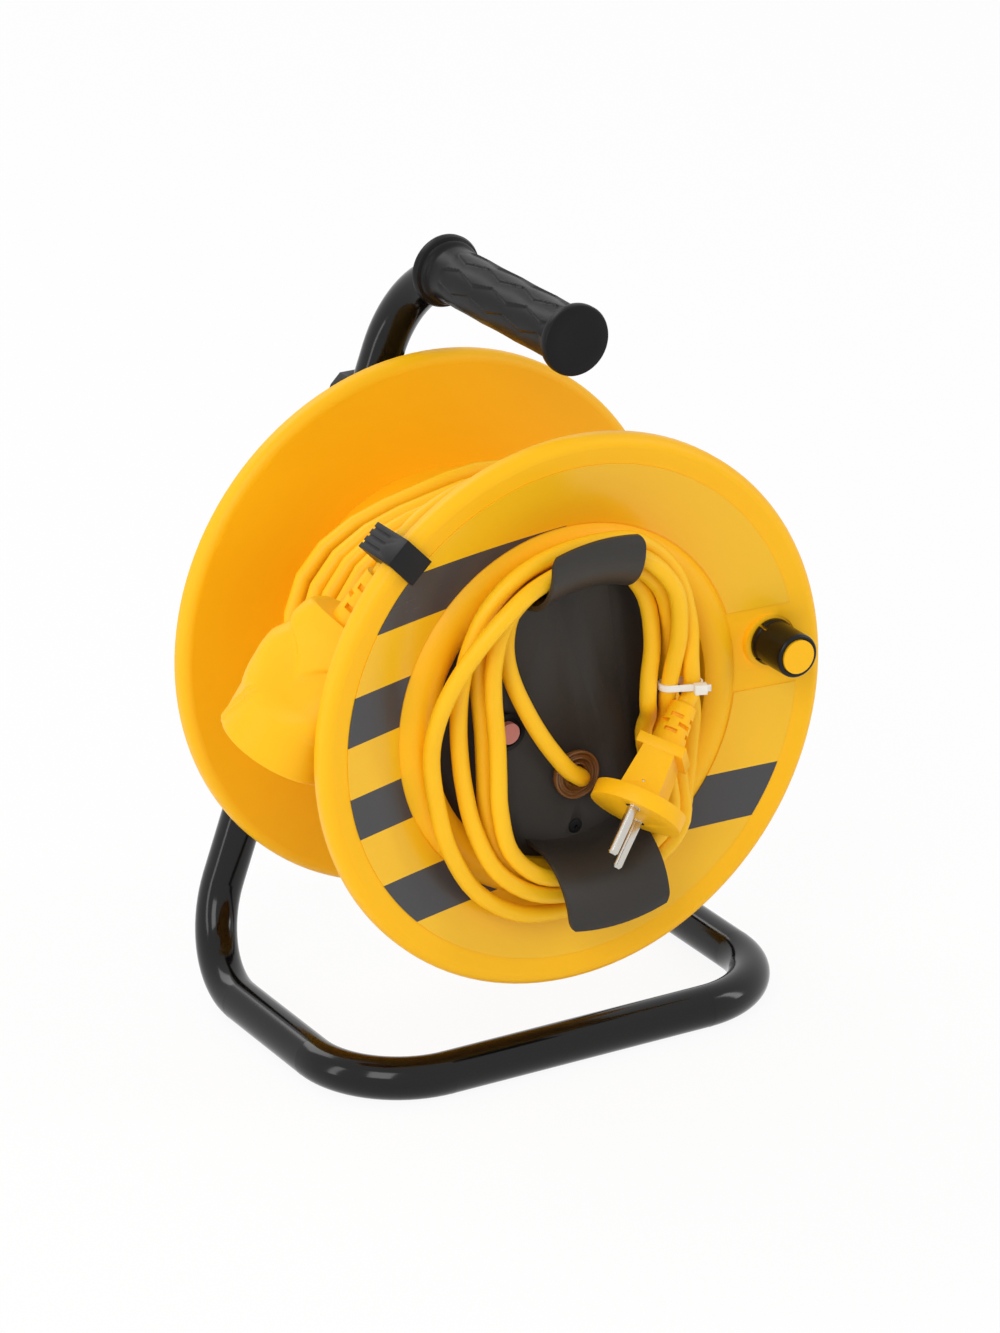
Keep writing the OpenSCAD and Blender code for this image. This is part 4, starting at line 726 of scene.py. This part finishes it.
def scoopDepth(shape, x, t):
    (x1, t1), (x2, t2) = shape["scoopFrom"], shape["scoopTo"]
    span = math.dist(shape["scoopFrom"], shape["scoopTo"])
    ax, at = (x2 - x1) / span, (t2 - t1) / span
    share = clamped(((x - x1) * ax + (t - t1) * at) / span)
    across = (x - x1) * -at + (t - t1) * ax - shape["scoopBow"] * math.sin(math.pi * share)
    fade = math.cos(math.pi / 2 * share) ** shape["scoopFade"]
    if across > shape["scoopLip"]:
        return 0
    if across > 0:
        return shape["scoopDepth"] * fade * (1 - across / shape["scoopLip"])
    narrow = shape["scoopNarrows"]
    reach = shape["scoopReach"] * (1 - narrow + narrow * fade)
    return shape["scoopDepth"] * fade * max(0, 1 + across / reach) ** shape["scoopHollow"]


def halfHeight(shape, t):  # half of the body's thickness at t, averaged over a few millimetres
    total = 0
    knots = shape["halfHeights"]
    for shift in shape["averaged"]:
        at = min(max(t + shift, 0), knots[-1][0] - 0.01)
        a = next(i for i in range(len(knots) - 1) if at < knots[i + 1][0])
        mix = (at - knots[a][0]) / (knots[a + 1][0] - knots[a][0])
        total += knots[a][1] + (knots[a + 1][1] - knots[a][1]) * mix
    return total / len(shape["averaged"])


def socketRadius(shape, turn, r, t):  # how far out the wall stands, in place of the round r
    half = min(r, halfHeight(shape, t))
    square = clamped((t - shape["squareFrom"]) / shape["squareOver"])
    power = 2 + shape["squareness"] * square
    wide, high = abs(math.cos(turn) / r), abs(math.sin(turn) / half)
    radius = (wide ** power + high ** power) ** (-1 / power)
    sideFade = min(1, abs(math.sin(turn)) * shape["scoopSide"])
    depth = scoopDepth(shape, -abs(radius * math.cos(turn)), t) * sideFade
    fromEdge = abs(math.degrees(turn) % 360 - 180) - shape["railSlant"] * t
    rail = sum(math.exp(-((fromEdge - c) / shape["railWidth"]) ** 2) for c in shape["railTurns"])
    rail *= (shape["railHeight"] * clamped((shape["railEnd"] - t) / shape["railRunOut"])
             * min(1, t / shape["railRunIn"]))
    return radius + (rail - depth)


def makeSocket(route, shape):
    profile = shape["mouth"] + densified(shape["wall"], shape["wallStep"])
    piece = turnedPiece("socketShell", profile, shape["sides"], yellowPlastic)
    for v in piece.data.vertices:
        x, y, t = (c * 1000 for c in v.co)
        r = math.hypot(x, y)
        if r < shape["recess"][0] and t < shape["recess"][1]:
            continue
        turn = math.atan2(y, x)
        radius = socketRadius(shape, turn, r, t)
        v.co.x, v.co.y = radius * math.cos(turn) / 1000, radius * math.sin(turn) / 1000
    onlySelect(piece)
    bpy.ops.object.mode_set(mode="EDIT")
    shell = bmesh.from_edit_mesh(piece.data)
    for v in shell.verts:
        v.select = (math.hypot(v.co.x, v.co.y) > shape["smoothBeyond"]
                    and shape["smoothFrom"] < v.co.z < shape["smoothTo"])
    shell.select_flush_mode()
    bpy.ops.mesh.vertices_smooth(factor=shape["smoothFactor"], repeat=shape["smoothRounds"])
    bpy.ops.object.mode_set(mode="OBJECT")
    run = Vector(route["socketRun"]).normalized()
    end = rimPlace(route, *route["clip"]) - route["socketStub"] * run
    mouth = end - (shape["bodyLength"] + shape["sleeveLength"]) * run
    axis = drumDirection(*run)
    side = squareTo(drumDirection(*shape["side"]), axis)
    placePiece(piece, lookFrame(side, axis.cross(side), axis, onDrum(*mouth)))
    holeMiddle = onDrum(*(mouth + shape["holeMiddle"] * run))
    for sign in (-1, 1):  # the two contact holes in the recess
        bpy.ops.object.select_all(action="DESELECT")
        bpy.ops.mesh.primitive_cylinder_add(vertices=shape["holeSides"], location=(0, 0, 0),
                                            radius=shape["holeRadius"], depth=shape["holeDepth"])
        drill = bpy.context.object
        placePiece(drill, lookFrame(side, axis.cross(side), axis,
                                    holeMiddle + side * sign * shape["holeOffset"]))
        cutAway(piece, drill)
    smoothBelow(piece, shape["smoothBelow"])
    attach(piece, "drum")
    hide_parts("connector_body")
    return piece


socketShell = makeSocket(woundRoute, socketShape)
print("socket shaped")

# crank knob: a glossy sleeve with a foot ring and four slits
knobShape = {"place": (83.8, 11), "sides": 96, "smoothBelow": 35,
             "slitWidth": 1.1, "slitTop": 5.2, "slitLength": 30, "slitTurns": (35, 125),
             "profile": [(6.5, 0.8), (6.5, 9.1), (7.2, 9.1), (7.2, 10.9), (6.5, 10.9),
                         (6.5, 18.3), (6.7, 18.8), (7.2, 19), (7.7, 18.9), (8.1, 18.6),
                         (8.3, 18.1), (8.35, 17.4), (8.35, 4), (8.4, 3.4), (8.7, 3), (8.9, 2.7),
                         (8.95, 2.3), (8.95, 1.2), (8.8, 0.9), (8.5, 0.8)]}


def makeKnob(shape):
    piece = turnedPiece("knobGrip", shape["profile"], shape["sides"], knobPlastic, hollow=True)
    slitSize = [c / 1000 for c in (shape["slitLength"], shape["slitWidth"], 2 * shape["slitTop"])]
    for turn in shape["slitTurns"]:
        bpy.ops.object.select_all(action="DESELECT")
        bpy.ops.mesh.primitive_cube_add(size=1, location=(0, 0, 0))
        cutter = bpy.context.object
        cutter.data.transform(Matrix.Rotation(math.radians(turn), 4, "Z")
                              @ Matrix.Diagonal((*slitSize, 1)))
        cutAway(piece, cutter)
    placePiece(piece, standingOnDrum(*shape["place"]))
    smoothBelow(piece, shape["smoothBelow"])
    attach(piece, "knob")
    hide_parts("knob_sleeve")


makeKnob(knobShape)

# gland: a brown grommet with moulded rings round the cord
glandShape = {"place": (2.8, -25.9), "sides": 96, "smoothBelow": 50,
              "profile": [(0.5, -16), (5.6, -16), (6, -15.6), (6, -4), (9.1, -4), (9.35, -3.7),
                          (9.35, -2.3), (9.2, -1.8), (8.9, -1.5), (8.6, -1.5), (8.3, -1.7),
                          (8.1, -2.2), (7.8, -2.5), (7.4, -2.5), (7.1, -2.2), (6.9, -1.7),
                          (6.6, -1.5), (6.3, -1.6), (6.1, -2.1), (5.9, -2.7), (5.6, -3),
                          (5.2, -3), (4.9, -2.6), (4.7, -2.1), (4.4, -1.9), (4.1, -2.1),
                          (3.9, -2.8), (3.7, -3.5), (3.45, -4), (3.45, -8), (0.5, -8)]}


def makeGland(shape):
    piece = turnedPiece("glandRings", shape["profile"], shape["sides"], brownPlastic)
    placePiece(piece, standingOnDrum(*shape["place"]))
    smoothBelow(piece, shape["smoothBelow"])
    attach(piece, "drum")
    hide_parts("cord_gland")


makeGland(glandShape)
print("knob and gland turned")

# label: a glossy film with bare dark bands
filmLook = {"grain": (300.0, 8.0), "bump": 0.02, "roughSpan": 0.04, "scuffs": 0.08,
            "Specular_IOR_Level": 0.35}
labelFilm = mouldedFinish("labelFilm", shade(249, 196, 36), shade(245, 187, 27), 0.24, **filmLook)
labelDark = mouldedFinish("labelDark", shade(72, 72, 74), shade(64, 64, 66), 0.24, **filmLook)
slotFinish["label_film"] = labelFilm
labelShape = {"turn": 4, "smoothBelow": 30,
              "leftBands": [(52.5, 71.1), (12.8, 31.2), (-23.4, -7), (-61.9, -43.8)],
              "rightBands": [(-61.4, -42.9)]}


def makeLabel(shape):
    turn = math.radians(shape["turn"])
    across = Vector((-math.sin(turn), 0, math.cos(turn)))
    piece = mergedCopy("label_ring", "labelFace")
    for low, high in shape["leftBands"] + shape["rightBands"]:
        for height in (low, high):
            bpy.ops.mesh.select_all(action="SELECT")
            bpy.ops.mesh.bisect(plane_co=onDrum(0, 0, 0) + across * height / 1000,
                                plane_no=across)
    bpy.ops.object.mode_set(mode="OBJECT")
    piece.data.materials.clear()
    piece.data.materials.append(labelFilm)
    piece.data.materials.append(labelDark)
    for face in piece.data.polygons:
        spot = face.center - onDrum(0, 0, 0)
        bands = shape["leftBands"] if spot.x < 0 else shape["rightBands"]
        height = spot.dot(across) * 1000
        face.material_index = int(any(low < height < high for low, high in bands))
    smoothBelow(piece, shape["smoothBelow"])
    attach(piece, "drum")
    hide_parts("label_ring")


makeLabel(labelShape)
print("label laid")

# finishes on all nodes, also on those that a piece stands for
for nodeName, node in nodes.items():
    node.data.materials.clear()
    node.data.materials.append(slotFinish[slotOf[nodeName]])
print("node finishes set")

# floor, backdrop and lamps: each lamp's place, width, height and power
stageSetup = {"floorSize": 40.0, "floor": shade(246, 246, 246), "floorRoughness": 0.9,
              "floorGlow": 0.92, "world": 0.62, "white": (1, 1, 1, 1), "lampsAim": (0, 0, 0.13),
              "lamps": [((-1.5, -1.3, 1.5), 0.9, 1.3, 16.5), ((1.7, -1.0, 1.0), 0.35, 1.4, 8),
                        ((-0.5, 1.5, 1.7), 1.2, 0.8, 10), ((-1.9, 0.1, 0.7), 0.3, 1.4, 5)]}


def seenDirectly(tree):  # 1 for what the camera, a reflection or a clear piece shows
    pathInfo = addNode(tree, "ShaderNodeLightPath")
    seen = mathNode(tree, "MAXIMUM", pathInfo.outputs["Is Camera Ray"],
                    pathInfo.outputs["Is Glossy Ray"])
    return mathNode(tree, "MAXIMUM", seen, pathInfo.outputs["Is Transmission Ray"])


def mixedInto(tree, share, plain, bright, surface):
    blend = addNode(tree, "ShaderNodeMixShader")
    tree.links.new(share, blend.inputs["Fac"])
    tree.links.new(plain, blend.inputs[1])
    tree.links.new(bright, blend.inputs[2])
    tree.links.new(blend.outputs["Shader"], surface)


bpy.ops.object.select_all(action="DESELECT")
bpy.ops.mesh.primitive_plane_add(size=stageSetup["floorSize"])
floor = bpy.context.object
floor.name = "paleFloor"
floorMaterial, tree, shader = startMaterial("paleFloor", stageSetup["floor"],
                                            stageSetup["floorRoughness"])
glow = addNode(tree, "ShaderNodeEmission", Color=stageSetup["white"], Strength=1.0)
share = mathNode(tree, "MULTIPLY", seenDirectly(tree), stageSetup["floorGlow"])
mixedInto(tree, share, shader.outputs["BSDF"], glow.outputs["Emission"],
          tree.nodes["Material Output"].inputs["Surface"])
floor.data.materials.append(floorMaterial)

world = bpy.data.worlds.new("studioWorld")
scene.world = world
world.use_nodes = True
tree = world.node_tree
plain = tree.nodes["Background"]
plain.inputs["Color"].default_value = stageSetup["white"]
plain.inputs["Strength"].default_value = stageSetup["world"]
bright = addNode(tree, "ShaderNodeBackground", Color=stageSetup["white"], Strength=1.0)
mixedInto(tree, seenDirectly(tree), plain.outputs["Background"], bright.outputs["Background"],
          tree.nodes["World Output"].inputs["Surface"])

for place, width, height, power in stageSetup["lamps"]:
    bpy.ops.object.light_add(type="AREA", location=place)
    lamp = bpy.context.object
    lamp.data.shape = "RECTANGLE"
    lamp.data.size = width
    lamp.data.size_y = height
    lamp.data.energy = power
    aim = Vector(stageSetup["lampsAim"]) - Vector(place)
    lamp.rotation_mode = "QUATERNION"
    lamp.rotation_quaternion = aim.to_track_quat("-Z", "Y")
print("stage lit")
